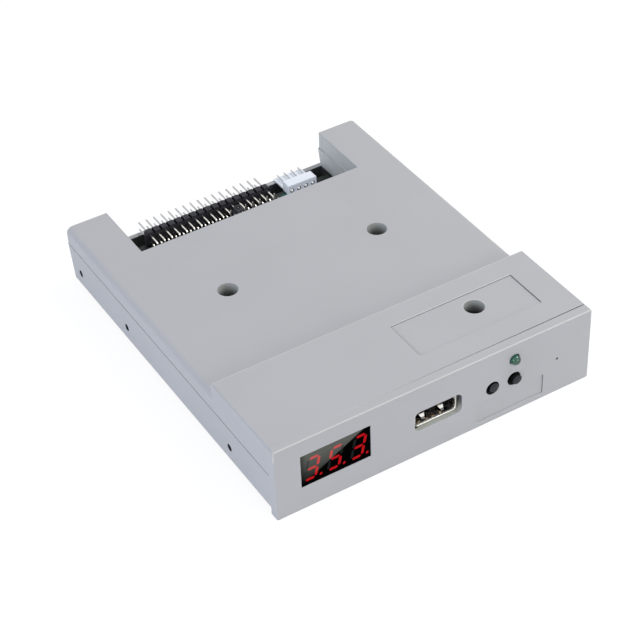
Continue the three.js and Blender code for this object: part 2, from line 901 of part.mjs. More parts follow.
// A regulator with one wide tab behind and three legs in front.
function regulator() {
  const body = block(
    [-regulatorWidth / 2, -regulatorLength / 2, 0],
    [regulatorWidth / 2, regulatorLength / 2, regulatorHeight],
  );
  const reach = regulatorLength / 2 + regulatorTabLength;
  const tab = block(
    [-regulatorTabWidth / 2, 0, 0],
    [regulatorTabWidth / 2, reach, regulatorTabHeight],
  );
  const legs = columns(regulatorLegs, regulatorLegPitch, 0).map((x) => block(
    [x - regulatorLegWidth / 2, -reach, 0],
    [x + regulatorLegWidth / 2, 0, regulatorTabHeight],
  ));
  return geometryOf([tab, ...legs].reduce((whole, piece) => whole.add(piece), body));
}

const drive = new THREE.Group();

function add(name, geometry, finish, place = [0, 0, 0]) {
  const [color, roughness, metalness] = finish;
  const material = new THREE.MeshStandardMaterial({ color, roughness, metalness });
  const mesh = new THREE.Mesh(geometry, material);
  mesh.name = name;
  mesh.position.set(...place);
  drive.add(mesh);
}

// Finishes: colour, roughness, metalness
const casePlastic = [0xbabbbf, 0.55, 0];
const blackPlastic = [0x1c1c1e, 0.5, 0];
const whitePlastic = [0xe6e9f0, 0.45, 0];
const pinMetal = [0xd6d6d2, 0.3, 1];
const socketMetal = [0xcfd0d2, 0.2, 1];
const screwMetal = [0x5a5b5e, 0.4, 1];
const boardLacquer = [0x123a38, 0.45, 0];
const screenBlack = [0x101012, 0.15, 0];
const lampGreen = [0x1f7d5c, 0.2, 0];

add("lower_shell", lowerShell(), casePlastic);
add("upper_shell", upperShell(), casePlastic);
wells.forEach(({ x, y }, i) => {
  add(`case_screw_${i + 1}`, caseScrew(), screwMetal, [x, y, screwSeat]);
});

add("main_board", mainBoard(), boardLacquer);
add("floppy_header_housing", ribbonHousing(), blackPlastic);
ribbonPlaces.forEach((x, i) => {
  const number = String(i + 1).padStart(2, "0");
  const place = [x, 0, 0];
  add(`floppy_pin_upper_${number}`, bentPin(caseDepth, upperLeg, upperRow), pinMetal, place);
  add(`floppy_pin_lower_${number}`, bentPin(caseDepth, lowerLeg, lowerRow), pinMetal, place);
});

add("power_header_housing", powerHousing(), whitePlastic);
powerPlaces.forEach((x, i) => {
  add(`power_pin_${i + 1}`, powerPin(), pinMetal, [x, 0, 0]);
});

add("jumper_header", jumperHeader(), blackPlastic);
const capPlace = [jumperPlaces[capColumn], jumperMiddle, jumperStripTop + capGap];
add("jumper_cap", jumperCap(), blackPlastic, capPlace);

add("usb_shell", socketShell(), socketMetal);
add("usb_tongue", socketTongue(), blackPlastic);

add("display_lens", screenLens(), screenBlack);
add("display_body", screenModule(), blackPlastic,
  [screenPlace, lensBack + moduleDepth / 2, screenHeight]);
add("display_board", screenBoard(), boardLacquer,
  [screenPlace, moduleBack + screenBoardThickness / 2, boardTop]);

["left", "right"].forEach((side, i) => {
  const proud = [leftKeyProud, rightKeyProud][i];
  add(`button_${side}`, key(proud), blackPlastic, [keyPlaces[i], 0, keyAxis]);
  add(`switch_body_${side}`, switchBody(), blackPlastic, [keyPlaces[i], 0, 0]);
});
add("indicator_led", lamp(), lampGreen, [lampPlace, 0, lampAxis]);

add("microcontroller", chip(), blackPlastic, [0, chipPlace, boardTop]);
add("voltage_regulator", regulator(), blackPlastic,
  [regulatorPlace, bayFront - regulatorSetback, boardTop]);

// The lamp reaches furthest forward, and the case and its pins end at the case's depth.
drive.position.y = (lampProud - caseDepth) / 2;

export default drive;
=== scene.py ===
"""Looks of the floppy drive emulator: its pieces, its finishes and the stage that it stands on.

Lengths are in metres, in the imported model's frame: +X to the right seen from the front, +Y to the
rear, +Z up, with the origin under the middle of the case. Each new piece is worked out with numpy,
as points on a grid or as an outline carried along a path. Each case shell, and each plastic part
whose solid is already right, is a merged copy of its solid with softened edges. When all pieces
are made, those edges are put into their meshes and the shading of the large flats is levelled.
"""

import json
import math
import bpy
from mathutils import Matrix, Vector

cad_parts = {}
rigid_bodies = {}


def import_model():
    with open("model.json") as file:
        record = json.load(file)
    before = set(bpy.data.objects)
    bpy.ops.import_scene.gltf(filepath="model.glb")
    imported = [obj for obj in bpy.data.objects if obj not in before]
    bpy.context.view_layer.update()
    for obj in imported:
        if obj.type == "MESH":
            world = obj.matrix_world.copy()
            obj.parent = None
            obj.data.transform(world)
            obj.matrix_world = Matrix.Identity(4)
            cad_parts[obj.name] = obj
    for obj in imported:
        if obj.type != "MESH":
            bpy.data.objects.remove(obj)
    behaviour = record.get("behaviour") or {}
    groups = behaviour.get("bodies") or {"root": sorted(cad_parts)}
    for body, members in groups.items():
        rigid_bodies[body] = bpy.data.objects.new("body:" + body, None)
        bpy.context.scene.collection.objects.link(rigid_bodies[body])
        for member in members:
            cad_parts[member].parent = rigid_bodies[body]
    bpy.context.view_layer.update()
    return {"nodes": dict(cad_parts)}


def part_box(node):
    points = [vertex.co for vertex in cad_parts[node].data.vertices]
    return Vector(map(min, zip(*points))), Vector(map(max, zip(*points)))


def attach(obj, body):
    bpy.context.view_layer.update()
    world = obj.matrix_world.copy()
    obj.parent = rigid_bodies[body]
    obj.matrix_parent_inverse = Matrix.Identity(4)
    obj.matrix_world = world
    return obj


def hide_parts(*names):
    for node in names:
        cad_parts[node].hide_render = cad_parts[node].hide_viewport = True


bl_info = {
    "name": "Floppy drive emulator",
    "version": (1, 0, 0),
    "blender": (4, 5, 0),
    "location": "View3D > Sidebar > Drive",
    "description": "Builds the pieces and finishes of the drive around its packed solids",
    "category": "Object",
}

import bmesh
import bpy
import numpy as np
from mathutils import Matrix

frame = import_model()

MM = 0.001


def linear(red, green, blue):
    """A colour given as screen values from 0 to 255, as the linear values that shaders use."""
    share = np.array([red, green, blue], float) / 255
    curved = np.where(share <= 0.04045, share / 12.92, ((share + 0.055) / 1.055) ** 2.4)
    return tuple(float(value) for value in curved)


def colour(name, description, screen):
    return bpy.props.FloatVectorProperty(
        name=name, description=description, subtype="COLOR", min=0, max=1, default=linear(*screen))


def length(name, description, millimetres):
    return bpy.props.FloatProperty(name=name, description=description, subtype="DISTANCE",
                                   unit="LENGTH", min=0, default=millimetres * MM)


def share(name, description, value):
    return bpy.props.FloatProperty(
        name=name, description=description, subtype="FACTOR", min=0, max=1, default=value)


# Sizes and colours that a user would change


class CaseLook(bpy.types.PropertyGroup):
    plastic: colour("Plastic", "Colour of the case", (187, 188, 192))
    # Painted highlight: a light colour on the front block's softened top edges stands in for the
    # light that they catch.
    rubbed: colour("Highlit edge", "Light line along the front block's top edges", (210, 211, 210))
    # Painted shade: a dark colour inside the tray and round the keys stands in for the deep shade
    # there.
    paint: colour("Inner paint", "Dark paint on the tray's inside", (62, 66, 66))
    joint: colour("Joint", "Shadow in the joint between the shells", (34, 36, 41))
    # Painted shade: a darker colour on the right walls of the openings stands in for the shade in
    # those corners.
    corner: colour("Corner", "Right walls of the openings", (108, 109, 113))
    # Painted shade: a darker colour on the label field's softened edges stands in for the shade
    # where the field steps down.
    field: colour("Field edge", "Softened edges of the label field", (138, 139, 143))
    # Painted shade: a dark colour on the low walls of the shallow fields.
    line: colour("Line", "Walls of the shallow fields", (62, 63, 66))
    # Painted light: the lighter lower wall of the socket's opening stands in for light falling on
    # it.
    ledge: colour("Ledge", "Lower wall of the socket's opening", (204, 208, 200))
    bay: colour("Bay", "Side walls of the connector bay", (197, 200, 198))
    # Painted shade: the wells' walls go from the upper colour to the lower one with depth, standing
    # in for the shade in them.
    well: colour("Well", "Upper wall of the screw wells", (188, 190, 188))
    well_floor: colour("Well floor", "Lower wall of the screw wells", (44, 45, 47))
    outer_edge: length("Outer edge", "Radius of the case's outer edges", 0.35)
    face_edge: length("Face edge", "Radius of the edge round the bezel's face", 0.24)
    rim: length("Rim", "Radius of the rims of wells and openings", 0.16)
    crease: length("Crease", "Radius of the edges at joints and label fields", 0.1)
    gap: length("Gap", "Gap of the cover behind the bezel at the right", 0.36)
    gap_start: share("Gap start", "Where the gap starts, as a share of the width", 0.27)
    grain: length("Grain", "Size of the moulded grain", 0.16)


class ScrewLook(bpy.types.PropertyGroup):
    steel: colour("Steel", "Colour of the case screws", (96, 97, 102))
    recess: length("Recess", "Depth of the cross recess", 1.0)
    thread: length("Thread", "Pitch of the screw's thread", 1.0)


class BoardLook(bpy.types.PropertyGroup):
    lacquer: colour("Lacquer", "Colour of the board between its copper", (30, 34, 34))
    copper: colour("Copper", "Colour of the lacquer over copper", (34, 42, 41))
    # Painted light: a bright teal patch beside the power header stands in for light that the white
    # header throws onto the board.
    bright: colour("Bright lacquer", "Lacquer over copper beside the power header", (36, 104, 102))
    solder: colour("Solder", "Colour of solder and tinned pads", (128, 128, 126))
    pad: length("Pad", "Radius of the ring round each header pin", 0.92)


class HeaderLook(bpy.types.PropertyGroup):
    plastic: colour("Plastic", "Colour of the black pin strips", (54, 54, 60))
    pin: colour("Pin", "Colour of the tinned pins", (232, 229, 223))
    tip: colour("Pin tip", "Colour of the pins behind the strip", (188, 189, 192))
    nylon: colour("Nylon", "Colour of the power header", (217, 220, 226))
    # Painted light: the nylon's emission stands in for light that comes through the nylon.
    nylon_glow: colour("Nylon glow", "Light that comes through the nylon", (122, 128, 138))
    # Painted shade: the pockets round the pins are darker than the glowing nylon, as the shade in
    # them.
    pocket: colour("Pocket", "Colour of the pockets round the power pins", (136, 138, 143))
    pin_end: colour("Pin end", "Glint on the power pins' front ends", (176, 178, 182))
    bend: length("Bend", "Radius of the pins' bends", 0.9)
    taper: length("Taper", "Length of the pins' tapered ends", 0.6)
    edge: length("Edge", "Radius of the strips' edges", 0.14)
    notch: length("Notch", "Depth of the notches between two columns", 0.66)
    thin: length("Thin", "Thickness of the pins that show", 0.48)


class SocketLook(bpy.types.PropertyGroup):
    plate: colour("Plate", "Colour of the socket's plated shell", (242, 241, 237))
    plastic: colour("Plastic", "Colour of the socket's insert", (98, 97, 106))
    gold: colour("Gold", "Colour of the contacts", (218, 196, 166))
    sheet: length("Sheet", "Thickness of the shell", 0.3)
    flare: length("Flare", "How far the shell's mouth is turned out", 0.22)
    spring: length("Spring", "How far the springs stand into the mouth", 0.85)


class ScreenLook(bpy.types.PropertyGroup):
    glass: colour("Glass", "Colour of the dark window", (3, 3, 3))
    # Painted reflection: the grey sheen on the window's upper left stands in for a reflection in
    # the glass.
    sheen: colour("Sheen", "Grey tone of the window's upper left half", (92, 94, 90))
    lit: colour("Lit", "Colour of a lit bar", (180, 16, 24))
    unlit: colour("Unlit", "Colour of an unlit bar", (32, 36, 36))
    digit_height: length("Digit height", "Height between a digit's outer bars", 7.0)
    digit_width: length("Digit width", "Width between a digit's side bars", 3.3)
    digit_pitch: length("Digit pitch", "Distance from digit to digit", 7.14)
    bar: length("Bar", "Thickness of a digit's bars", 0.86)
    slant: share("Slant", "Lean of the digits, as a share of their height", 0.21)
    shown: bpy.props.StringProperty(
        name="Shown", description="Digits on the screen", default="353")


class KeyLook(bpy.types.PropertyGroup):
    plastic: colour("Plastic", "Colour of the keys' faces", (35, 36, 40))
    # Painted shade: the keys' sides take a darker copy of their plastic, standing in for the shade
    # on them.
    side: colour("Side", "Colour of the keys' sides", (13, 13, 15))
    # Painted light and shade: the unlit lamp is lighter on its upper left and darker on its lower
    # right.
    lamp: colour("Lamp", "Light side of the unlit lamp", (16, 100, 74))
    lamp_deep: colour("Lamp deep", "Dark side of the unlit lamp", (1, 24, 17))
    dome: length("Dome", "Rise of a key's face", 0.12)


class StageLook(bpy.types.PropertyGroup):
    floor: colour("Floor", "Colour of the pale floor", (238, 239, 241))
    shadow: share("Shadow", "How much of the object's shadow the floor shows", 0.2)
    sky: share("Sky", "Strength of the even light from all round", 0.45)


LOOKS = {"drive_case": CaseLook, "drive_screw": ScrewLook, "drive_board": BoardLook,
         "drive_header": HeaderLook, "drive_socket": SocketLook, "drive_screen": ScreenLook,
         "drive_key": KeyLook, "drive_stage": StageLook}

# Meshes and pieces. The turn from face to face, in degrees, says which faces are level, which
# edges can be softened and which edges look sharp.

MERGE_REACH = 1e-6
LEVEL_TURN, SOFT_TURN, SHARP_TURN = 0.5, 30, 35


def values(items, key, width=1, kind=float):
    """One attribute of all the items in a mesh's list, as an array."""
    out = np.empty(len(items) * width, kind)
    items.foreach_get(key, out)
    return out.reshape(-1, width) if width > 1 else out


def near(places, place, reach=0.01 * MM):
    return np.abs(places - place) < reach


def between(places, low, high):
    return (places > low) & (places < high)


def choose(*rules):
    """The value of the first rule that holds at each place, and 0 where none does."""
    masks, results = zip(*rules)
    return np.select(masks, results, 0)


class Surface:
    """Points and faces of a piece, gathered from grids, before they go into one mesh."""

    def __init__(self):
        self.points, self.faces, self.finishes, self.count = [], [], [], 0

    def grid(self, points, closed=True, caps=(False, False), finish=0, keep=None):
        """Quads between neighbouring rows and columns of a grid of points. closed joins the last
        column to the first, caps closes the first and the last row with one face each, and keep
        is a mask of the quads that stay. finish is a number, or an array over rows and columns."""
        rows, columns = points.shape[:2]
        index = self.count + np.arange(rows * columns).reshape(rows, columns)
        right = np.roll(index, -1, axis=1)
        quads = np.stack([index[:-1], right[:-1], right[1:], index[1:]], axis=-1)
        if not closed:
            quads = quads[:, :-1]
        finishes = np.broadcast_to(finish, quads.shape[:2])
        if keep is not None:
            quads, finishes = quads[keep], finishes[keep]
        ends = [ring.tolist() for ring, cap in zip((index[0, ::-1], index[-1]), caps) if cap]
        self.points.append(points.reshape(-1, 3))
        self.faces += quads.reshape(-1, 4).tolist() + ends
        self.finishes += finishes.ravel().tolist() + [int(np.min(finish))] * len(ends)
        self.count += rows * columns

    def solid(self, points, finish=0):
        self.grid(points, caps=(True, True), finish=finish)

    def mesh(self, name):
        mesh = bpy.data.meshes.new(name)
        mesh.from_pydata(np.concatenate(self.points).tolist(), [], self.faces)
        mesh.polygons.foreach_set("material_index", np.array(self.finishes, np.int32))
        return mesh


def cleaned(mesh, flats=False):
    """Merges the doubles of a mesh. flats also joins its level triangles. Otherwise its empty
    faces go, and the rest turn outwards."""
    work = bmesh.new()
    work.from_mesh(mesh)
    bmesh.ops.remove_doubles(work, verts=work.verts, dist=MERGE_REACH)
    if flats:
        bmesh.ops.dissolve_limit(
            work, angle_limit=math.radians(LEVEL_TURN), verts=work.verts, edges=work.edges)
    else:
        bmesh.ops.dissolve_degenerate(work, edges=work.edges, dist=MERGE_REACH)
        bmesh.ops.recalc_face_normals(work, faces=work.faces)
    work.to_mesh(mesh)
    work.free()


def added(name, data):
    """A new object in the scene for a mesh, a lamp or a camera."""
    thing = bpy.data.objects.new(name, data)
    bpy.context.scene.collection.objects.link(thing)
    return thing


def dressed(name, mesh, finishes, body, smooth, stands_for):
    """An object for a mesh, with its finishes and smooth shading, on its body. The solids that it
    stands for are hidden.
    """
    piece = added(name, mesh)
    for finish in finishes:
        mesh.materials.append(finish)
    mesh.shade_smooth()
    mesh.set_sharp_from_angle(angle=math.radians(smooth))
    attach(piece, body)
    if stands_for:
        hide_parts(*stands_for)
    return piece


def piece_of(name, surface, finishes, stands_for=(), smooth=40, body="case"):
    """A named piece from a surface's points and faces."""
    mesh = surface.mesh(name)
    cleaned(mesh)
    return dressed(name, mesh, finishes, body, smooth, stands_for)


def finish_faces(piece, finish):
    piece.data.polygons.foreach_set("material_index", finish.astype(np.int32))


def paint_node(node_name, material):
    """A solid whose shape is right keeps it, and gets its material."""
    solid = frame["nodes"][node_name]
    solid.data.materials.clear()
    solid.data.materials.append(material)


def node_box(node):
    """Lowest corner, highest corner and middle of a solid, as arrays."""
    low, high = (np.array(corner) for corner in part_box(node))
    return low, high, (low + high) / 2


# Shapes


def rounded_outline(half_x, half_z, radius, steps=6):
    """Points of a rectangle with round corners about the origin: each corner's arc is its centre
    plus the radius times the cosine and sine of a quarter turn, and the sides join the arcs."""
    turn = np.linspace(0, math.pi / 2, steps + 1)
    quarters = []
    for step, (side_x, side_z) in enumerate(((1, 1), (-1, 1), (-1, -1), (1, -1))):
        angle = turn + step * math.pi / 2
        quarters.append(np.stack([side_x * (half_x - radius) + radius * np.cos(angle),
                                  side_z * (half_z - radius) + radius * np.sin(angle)], axis=-1))
    return np.concatenate(quarters)


def square_of(half, corner_share=0.35):
    return rounded_outline(half, half, half * corner_share, 2)


def stacked(outlines, places, axis=2):
    """A grid from outlines in a plane, one at each place along the third axis."""
    outlines = np.asarray(outlines)
    along = np.broadcast_to(np.asarray(places)[:, None, None], outlines.shape[:2] + (1,))
    return np.concatenate([outlines, along], axis=-1)[..., [0, 1, 2] if axis == 2 else [0, 2, 1]]


def eased(low, high, edge):
    """Places between two ends, and how far the outline is drawn in at each. At an end it is drawn
    in by the edge times one minus the sine of a quarter turn, while the place moves in by the
    edge times one minus the cosine."""
    turn = np.linspace(0, math.pi / 2, 4)
    drawn, moved = edge * (1 - np.sin(turn)), edge * (1 - np.cos(turn))
    return np.concatenate([low + moved, high - drawn]), np.concatenate([drawn, moved])


def soft_block(low, high, corner, edge):
    """An upright block between two corners, with a rounded outline and eased ends."""
    middle, half = (low + high) / 2, (high - low) / 2
    heights, cuts = eased(low[2], high[2], edge)
    rings = [rounded_outline(*(half[:2] - cut), max(corner - cut, corner * 0.2), 3) + middle[:2]
             for cut in cuts]
    return stacked(rings, heights)


def turned(profile, centre, sides=48, axis=1):
    """A profile of radius and place along an axis, turned once round that axis: each point goes
    to its radius times the cosine and sine of the angle."""
    profile = np.asarray(profile, float)
    angle = np.linspace(0, 2 * math.pi, sides, endpoint=False)
    outline = np.stack([profile[:, :1] * np.cos(angle), profile[:, :1] * np.sin(angle)], axis=-1)
    return stacked(outline, profile[:, 1], axis) + np.asarray(centre)


def carried(path, outline, scale=None):
    """An outline carried along a path that stays square to the X axis: at each point of the path
    the outline's first axis lies along X, and its second is square to the path and to X."""
    path = np.asarray(path, float)
    run = np.gradient(path, axis=0)
    run /= np.linalg.norm(run, axis=1, keepdims=True)
    across = np.broadcast_to([1.0, 0.0, 0.0], path.shape)
    up = np.cross(across, run)
    scale = np.ones(len(path)) if scale is None else np.asarray(scale)
    first = outline[None, :, :1] * across[:, None] * scale[:, None, None]
    second = outline[None, :, 1:] * up[:, None] * scale[:, None, None]
    return path[:, None] + first + second


def bend_points(start, corner, end, radius):
    """A path of two straight runs joined by an arc: the arc's points are its centre plus the
    radius times the cosine and sine of a quarter turn between the two runs."""
    start, corner, end = (np.asarray(point, float) for point in (start, corner, end))
    back = (start - corner) / np.linalg.norm(start - corner)
    on = (end - corner) / np.linalg.norm(end - corner)
    turn = np.linspace(0, math.pi / 2, 9)[:, None]
    centre = corner + (back + on) * radius
    arc = centre - on * radius * np.cos(turn) - back * radius * np.sin(turn)
    return np.concatenate([start[None], arc, end[None]])


def spread(path, taper):
    """The path with one more point near each end, and a scale for each point that narrows the
    outline over that length."""
    first = path[0] + (path[1] - path[0]) / np.linalg.norm(path[1] - path[0]) * taper
    last = path[-1] + (path[-2] - path[-1]) / np.linalg.norm(path[-2] - path[-1]) * taper
    points = np.concatenate([path[:1], [first], path[1:-1], [last], path[-1:]])
    scale = np.ones(len(points))
    scale[[0, -1]] = 0.5
    return points, scale


# Copies of solids with softened edges


def edge_facts(mesh):
    """Middle of each edge, the angle between its two faces, and whether it stands out. An edge
    stands out if its second face, from the edge inwards, drops below the first one's plane."""
    corners = values(mesh.vertices, "co", 3)
    ends = values(mesh.edges, "vertices", 2, np.int64)
    loop_edge = values(mesh.loops, "edge_index", 1, np.int64)
    sides = values(mesh.polygons, "loop_total", 1, np.int64)
    owner = np.repeat(np.arange(len(sides)), sides)
    order = np.argsort(loop_edge, kind="stable").reshape(-1, 2)
    normal = values(mesh.polygons, "normal", 3)[owner[order]]
    edge = ends[loop_edge[order[:, 1]]]
    start = values(mesh.loops, "vertex_index", 1, np.int64)[order[:, 1]]
    other = np.where(edge[:, 0] == start, edge[:, 1], edge[:, 0])
    inwards = np.cross(normal[:, 1], corners[other] - corners[start])
    turn = np.degrees(np.arccos(np.clip((normal[:, 0] * normal[:, 1]).sum(1), -1, 1)))
    return corners[ends].mean(1), turn, (inwards * normal[:, 0]).sum(1) < 0


def softened(name, node_name, radius, finishes, body="case", rubbed=-1, segments=2,
             move=None):
    """A merged copy of a solid with softened standing edges. radius is one size, or a function
    of an edge's middle. The finish on those edges is given by its number; on the shells it
    holds a painted highlight and painted shade. move shifts points of the copy."""
    mesh = frame["nodes"][node_name].data.copy()
    mesh.name = name
    mesh.materials.clear()
    for layer in list(mesh.uv_layers):
        mesh.uv_layers.remove(layer)
    cleaned(mesh, flats=True)
    middle, turn, stands = edge_facts(mesh)
    wanted = radius(*middle.T) if callable(radius) else radius
    width = np.where(stands & (turn > SOFT_TURN), wanted, 0.0)
    widest = float(width.max())
    weight = mesh.attributes.new("bevel_weight_edge", "FLOAT", "EDGE")
    weight.data.foreach_set("value", (width / widest).astype(np.float32))
    if move is not None:
        points = move(values(mesh.vertices, "co", 3))
        mesh.vertices.foreach_set("co", points.ravel())
    mesh.update()
    piece = dressed(name, mesh, finishes, body, SHARP_TURN, (node_name,))
    mesh.attributes["sharp_edge"].data.foreach_set("value", (turn > SHARP_TURN) & (width == 0))
    soft = piece.modifiers.new("Softened edges", "BEVEL")
    soft.limit_method = "WEIGHT"
    soft.width = widest
    soft.segments = segments
    soft.use_clamp_overlap = False
    soft.loop_slide = False
    # On the shells this finish paints a highlight and shade onto the softened edges.
    soft.material = rubbed
    return piece


def level_shading(mesh, lean=50):
    """Keeps large flats level beside their softened edges. At each of its corners a face takes
    the mean normal of the faces there that lean less than the given angle from it, each weighted
    by the square of its area."""
    corner = values(mesh.loops, "vertex_index", 1, np.int64)
    sides = values(mesh.polygons, "loop_total", 1, np.int64)
    normal = values(mesh.polygons, "normal", 3)
    area = values(mesh.polygons, "area")
    face = np.repeat(np.arange(len(sides)), sides)
    order = np.argsort(corner, kind="stable")
    shared = np.bincount(corner)
    first = np.cumsum(shared) - shared
    around = shared[corner[order]]
    one = np.repeat(np.arange(len(order)), around)
    step = np.arange(len(one)) - np.repeat(np.cumsum(around) - around, around)
    other = first[corner[order[one]]] + step
    mine, theirs = face[order[one]], face[order[other]]
    alike = (normal[mine] * normal[theirs]).sum(1) > math.cos(math.radians(lean))
    weight = np.where(alike, (area[theirs] / MM ** 2) ** 2 + 1e-9, 0)
    total = np.zeros((len(order), 3))
    np.add.at(total, order[one], normal[theirs] * weight[:, None])
    total /= np.linalg.norm(total, axis=1, keepdims=True)
    mesh.normals_split_custom_set(total.tolist())


def settle():
    """Puts the softened edges of the finished pieces into their meshes and levels the shading."""
    graph = bpy.context.evaluated_depsgraph_get()
    pieces = [piece for piece in bpy.data.objects if "Softened edges" in piece.modifiers]
    meshes = [bpy.data.meshes.new_from_object(piece.evaluated_get(graph)) for piece in pieces]
    for piece, mesh in zip(pieces, meshes):
        piece.modifiers.clear()
        bevelled, piece.data = piece.data, mesh
        bpy.data.meshes.remove(bevelled)
        mesh.name = piece.name
        level_shading(mesh)


# Shader nodes


def node(tree, kind, inputs=None, **settings):
    """Adds a shader node, sets it, and links or fills its inputs."""
    made = tree.nodes.new("ShaderNode" + kind)
    for name, value in settings.items():
        setattr(made, name, value)
    for key, value in (inputs or {}).items():
        if isinstance(value, bpy.types.NodeSocket):
            tree.links.new(value, made.inputs[key])
        else:
            made.inputs[key].default_value = value
    return made


def feed(tree, inputs, **sources):
    """Links sockets to inputs, whose names have underscores for spaces here."""
    for name, source in sources.items():
        tree.links.new(source, inputs[name.replace("_", " ")])


def maths(tree, operation, *terms):
    return node(tree, "Math", dict(enumerate(terms)), operation=operation).outputs[0]


def ranged(tree, value, low, high, out_low=0.0, out_high=1.0, smooth=False):
    return node(tree, "MapRange", {"Value": value, "From Min": low, "From Max": high,
                                   "To Min": out_low, "To Max": out_high},
                interpolation_type="SMOOTHSTEP" if smooth else "LINEAR").outputs[0]


def blended(tree, factor, first, second, mode="MIX"):
    """Mixes two colours, or changes the first by the second as the mode says."""
    first, second = (value if isinstance(value, bpy.types.NodeSocket) else (*value[:3], 1)
                     for value in (first, second))
    return node(tree, "Mix", {"Factor": factor, 6: first, 7: second},
                data_type="RGBA", blend_type=mode).outputs[2]


def object_place(tree):
    return node(tree, "TexCoord").outputs["Object"]


def axes_of(tree):
    return node(tree, "SeparateXYZ", {"Vector": object_place(tree)}).outputs


def noise(tree, scale, detail, roughness=0.5, place=None):
    place = object_place(tree) if place is None else place
    return node(tree, "TexNoise", {"Vector": place, "Scale": scale, "Detail": detail,
                                   "Roughness": roughness}).outputs["Fac"]


def once(store):
    """Makes a finish or a node group under its function's name, or gives the one made before."""
    def keep(make):
        def given():
            return getattr(bpy.data, store).get(make.__name__) or make(make.__name__)
        return given
    return keep


def group_of(name, inputs, outputs):
    """An empty node group whose inputs are floats or vectors, and whose outputs are floats."""
    tree = bpy.data.node_groups.new(name, "ShaderNodeTree")
    for key, value in inputs.items():
        kind = "Vector" if isinstance(value, tuple) else "Float"
        socket = tree.interface.new_socket(key, in_out="INPUT", socket_type="NodeSocket" + kind)
        socket.default_value = value
    for key in outputs:
        tree.interface.new_socket(key, in_out="OUTPUT", socket_type="NodeSocketFloat")
    return tree, tree.nodes.new("NodeGroupInput").outputs, tree.nodes.new("NodeGroupOutput").inputs


@once("node_groups")
def moulded_skin(name):
    """Skin of moulded plastic: a fine pebbled grain as height, broad faint patches from the
    mould, and rare small specks."""
    tree, given, out = group_of(name, {"Grain": 0.16 * MM, "Patch": 20 * MM, "Specks": 0.0},
                                ("Height", "Patch", "Speck"))
    fine = noise(tree, maths(tree, "DIVIDE", 1.0, given["Grain"]), 3.0, 0.6)
    cells = node(tree, "TexVoronoi", {
        "Vector": object_place(tree), "Scale": maths(tree, "DIVIDE", 0.8, given["Grain"])},
        feature="SMOOTH_F1").outputs["Distance"]
    patch = noise(tree, maths(tree, "DIVIDE", 1.0, given["Patch"]), 2.0)
    dust = node(tree, "TexVoronoi", {
        "Vector": object_place(tree), "Scale": 260.0, "Randomness": 1.0}).outputs
    size = node(tree, "SeparateColor", {"Color": dust["Color"]}).outputs[0]
    reach = maths(tree, "MULTIPLY", maths(tree, "POWER", size, 14.0), 0.09)
    speck = maths(tree, "LESS_THAN", dust["Distance"], reach)
    feed(tree, out,
         Height=maths(tree, "ADD", maths(tree, "MULTIPLY", fine, 0.6),
                      maths(tree, "MULTIPLY", cells, 0.4)),
         Patch=ranged(tree, patch, 0.3, 0.7, smooth=True),
         Speck=maths(tree, "MULTIPLY", speck, given["Specks"]))
    return tree


@once("node_groups")
def drawn_metal(name):
    """Surface of drawn or rolled metal: long fine lines along one axis, and dull clouds."""
    tree, given, out = group_of(name, {"Stretch": (1.0, 0.05, 1.0), "Line": 0.06 * MM},
                                ("Height", "Cloud"))
    drawn = node(tree, "VectorMath", {0: object_place(tree), 1: given["Stretch"]},
                 operation="MULTIPLY").outputs[0]
    lines = noise(tree, maths(tree, "DIVIDE", 1.0, given["Line"]), 2.0, place=drawn)
    cloud = ranged(tree, noise(tree, 900.0, 3.0), 0.35, 0.7, smooth=True)
    feed(tree, out, Height=lines, Cloud=cloud)
    return tree


def start_material(name, **plain):
    """A material with its Principled shader, whose plain values are set on its own sockets."""
    material = bpy.data.materials.new(name)
    material.use_nodes = True
    tree = material.node_tree
    shader = tree.nodes["Principled BSDF"].inputs
    for key, value in plain.items():
        shader[key.replace("_", " ")].default_value = value
    return material, tree, shader


def bump(tree, height, depth):
    return node(tree, "Bump", {"Height": height, "Strength": 1.0, "Distance": depth}).outputs[0]


def plastic(name, base, rough, grain, depth=0.004 * MM, specks=0.0, mottle=0.02, **plain):
    """Moulded plastic: base colour with faint patches and specks, and a grained, satin skin."""
    material, tree, shader = start_material(name, **plain)
    skin = node(tree, "Group", {"Grain": grain, "Specks": specks},
                node_tree=moulded_skin()).outputs
    tone = blended(tree, skin["Patch"], [c * (1 - mottle) for c in base],
                   [min(1, c * (1 + mottle)) for c in base])
    feed(tree, shader, Base_Color=blended(tree, skin["Speck"], tone, [c * 0.45 for c in base]),
         Roughness=ranged(tree, skin["Height"], 0.2, 0.8, rough - 0.06, rough + 0.06),
         Normal=bump(tree, skin["Height"], depth))
    return material


def metal(name, base, rough, stretch=(1.0, 0.05, 1.0), line=0.06 * MM, tarnish=0.12):
    """Bright metal: drawing lines as bump, and clouds that dull and darken it a little."""
    material, tree, shader = start_material(name, Metallic=1.0)
    drawn = node(tree, "Group", {"Stretch": stretch, "Line": line},
                 node_tree=drawn_metal()).outputs
    feed(tree, shader,
         Base_Color=blended(tree, drawn["Cloud"], base, [c * (1 - tarnish) for c in base]),
         Roughness=ranged(tree, drawn["Cloud"], 0, 1, rough - 0.04, rough + 0.08),
         Normal=bump(tree, drawn["Height"], 0.0006 * MM))
    return material


def graded(material, mask_of, first, second):
    """Gives a plastic a second colour that a mask over the object's place blends in."""
    tree = material.node_tree
    target = tree.nodes["Principled BSDF"].inputs["Base Color"]
    tone = target.links[0].from_socket
    other = blended(tree, 1.0, tone, [b / max(a, 1e-4) for a, b in zip(first, second)], "MULTIPLY")
    tree.links.new(blended(tree, mask_of(tree, axes_of(tree)), tone, other), target)
    return material


# The drive's measures, read from its solids

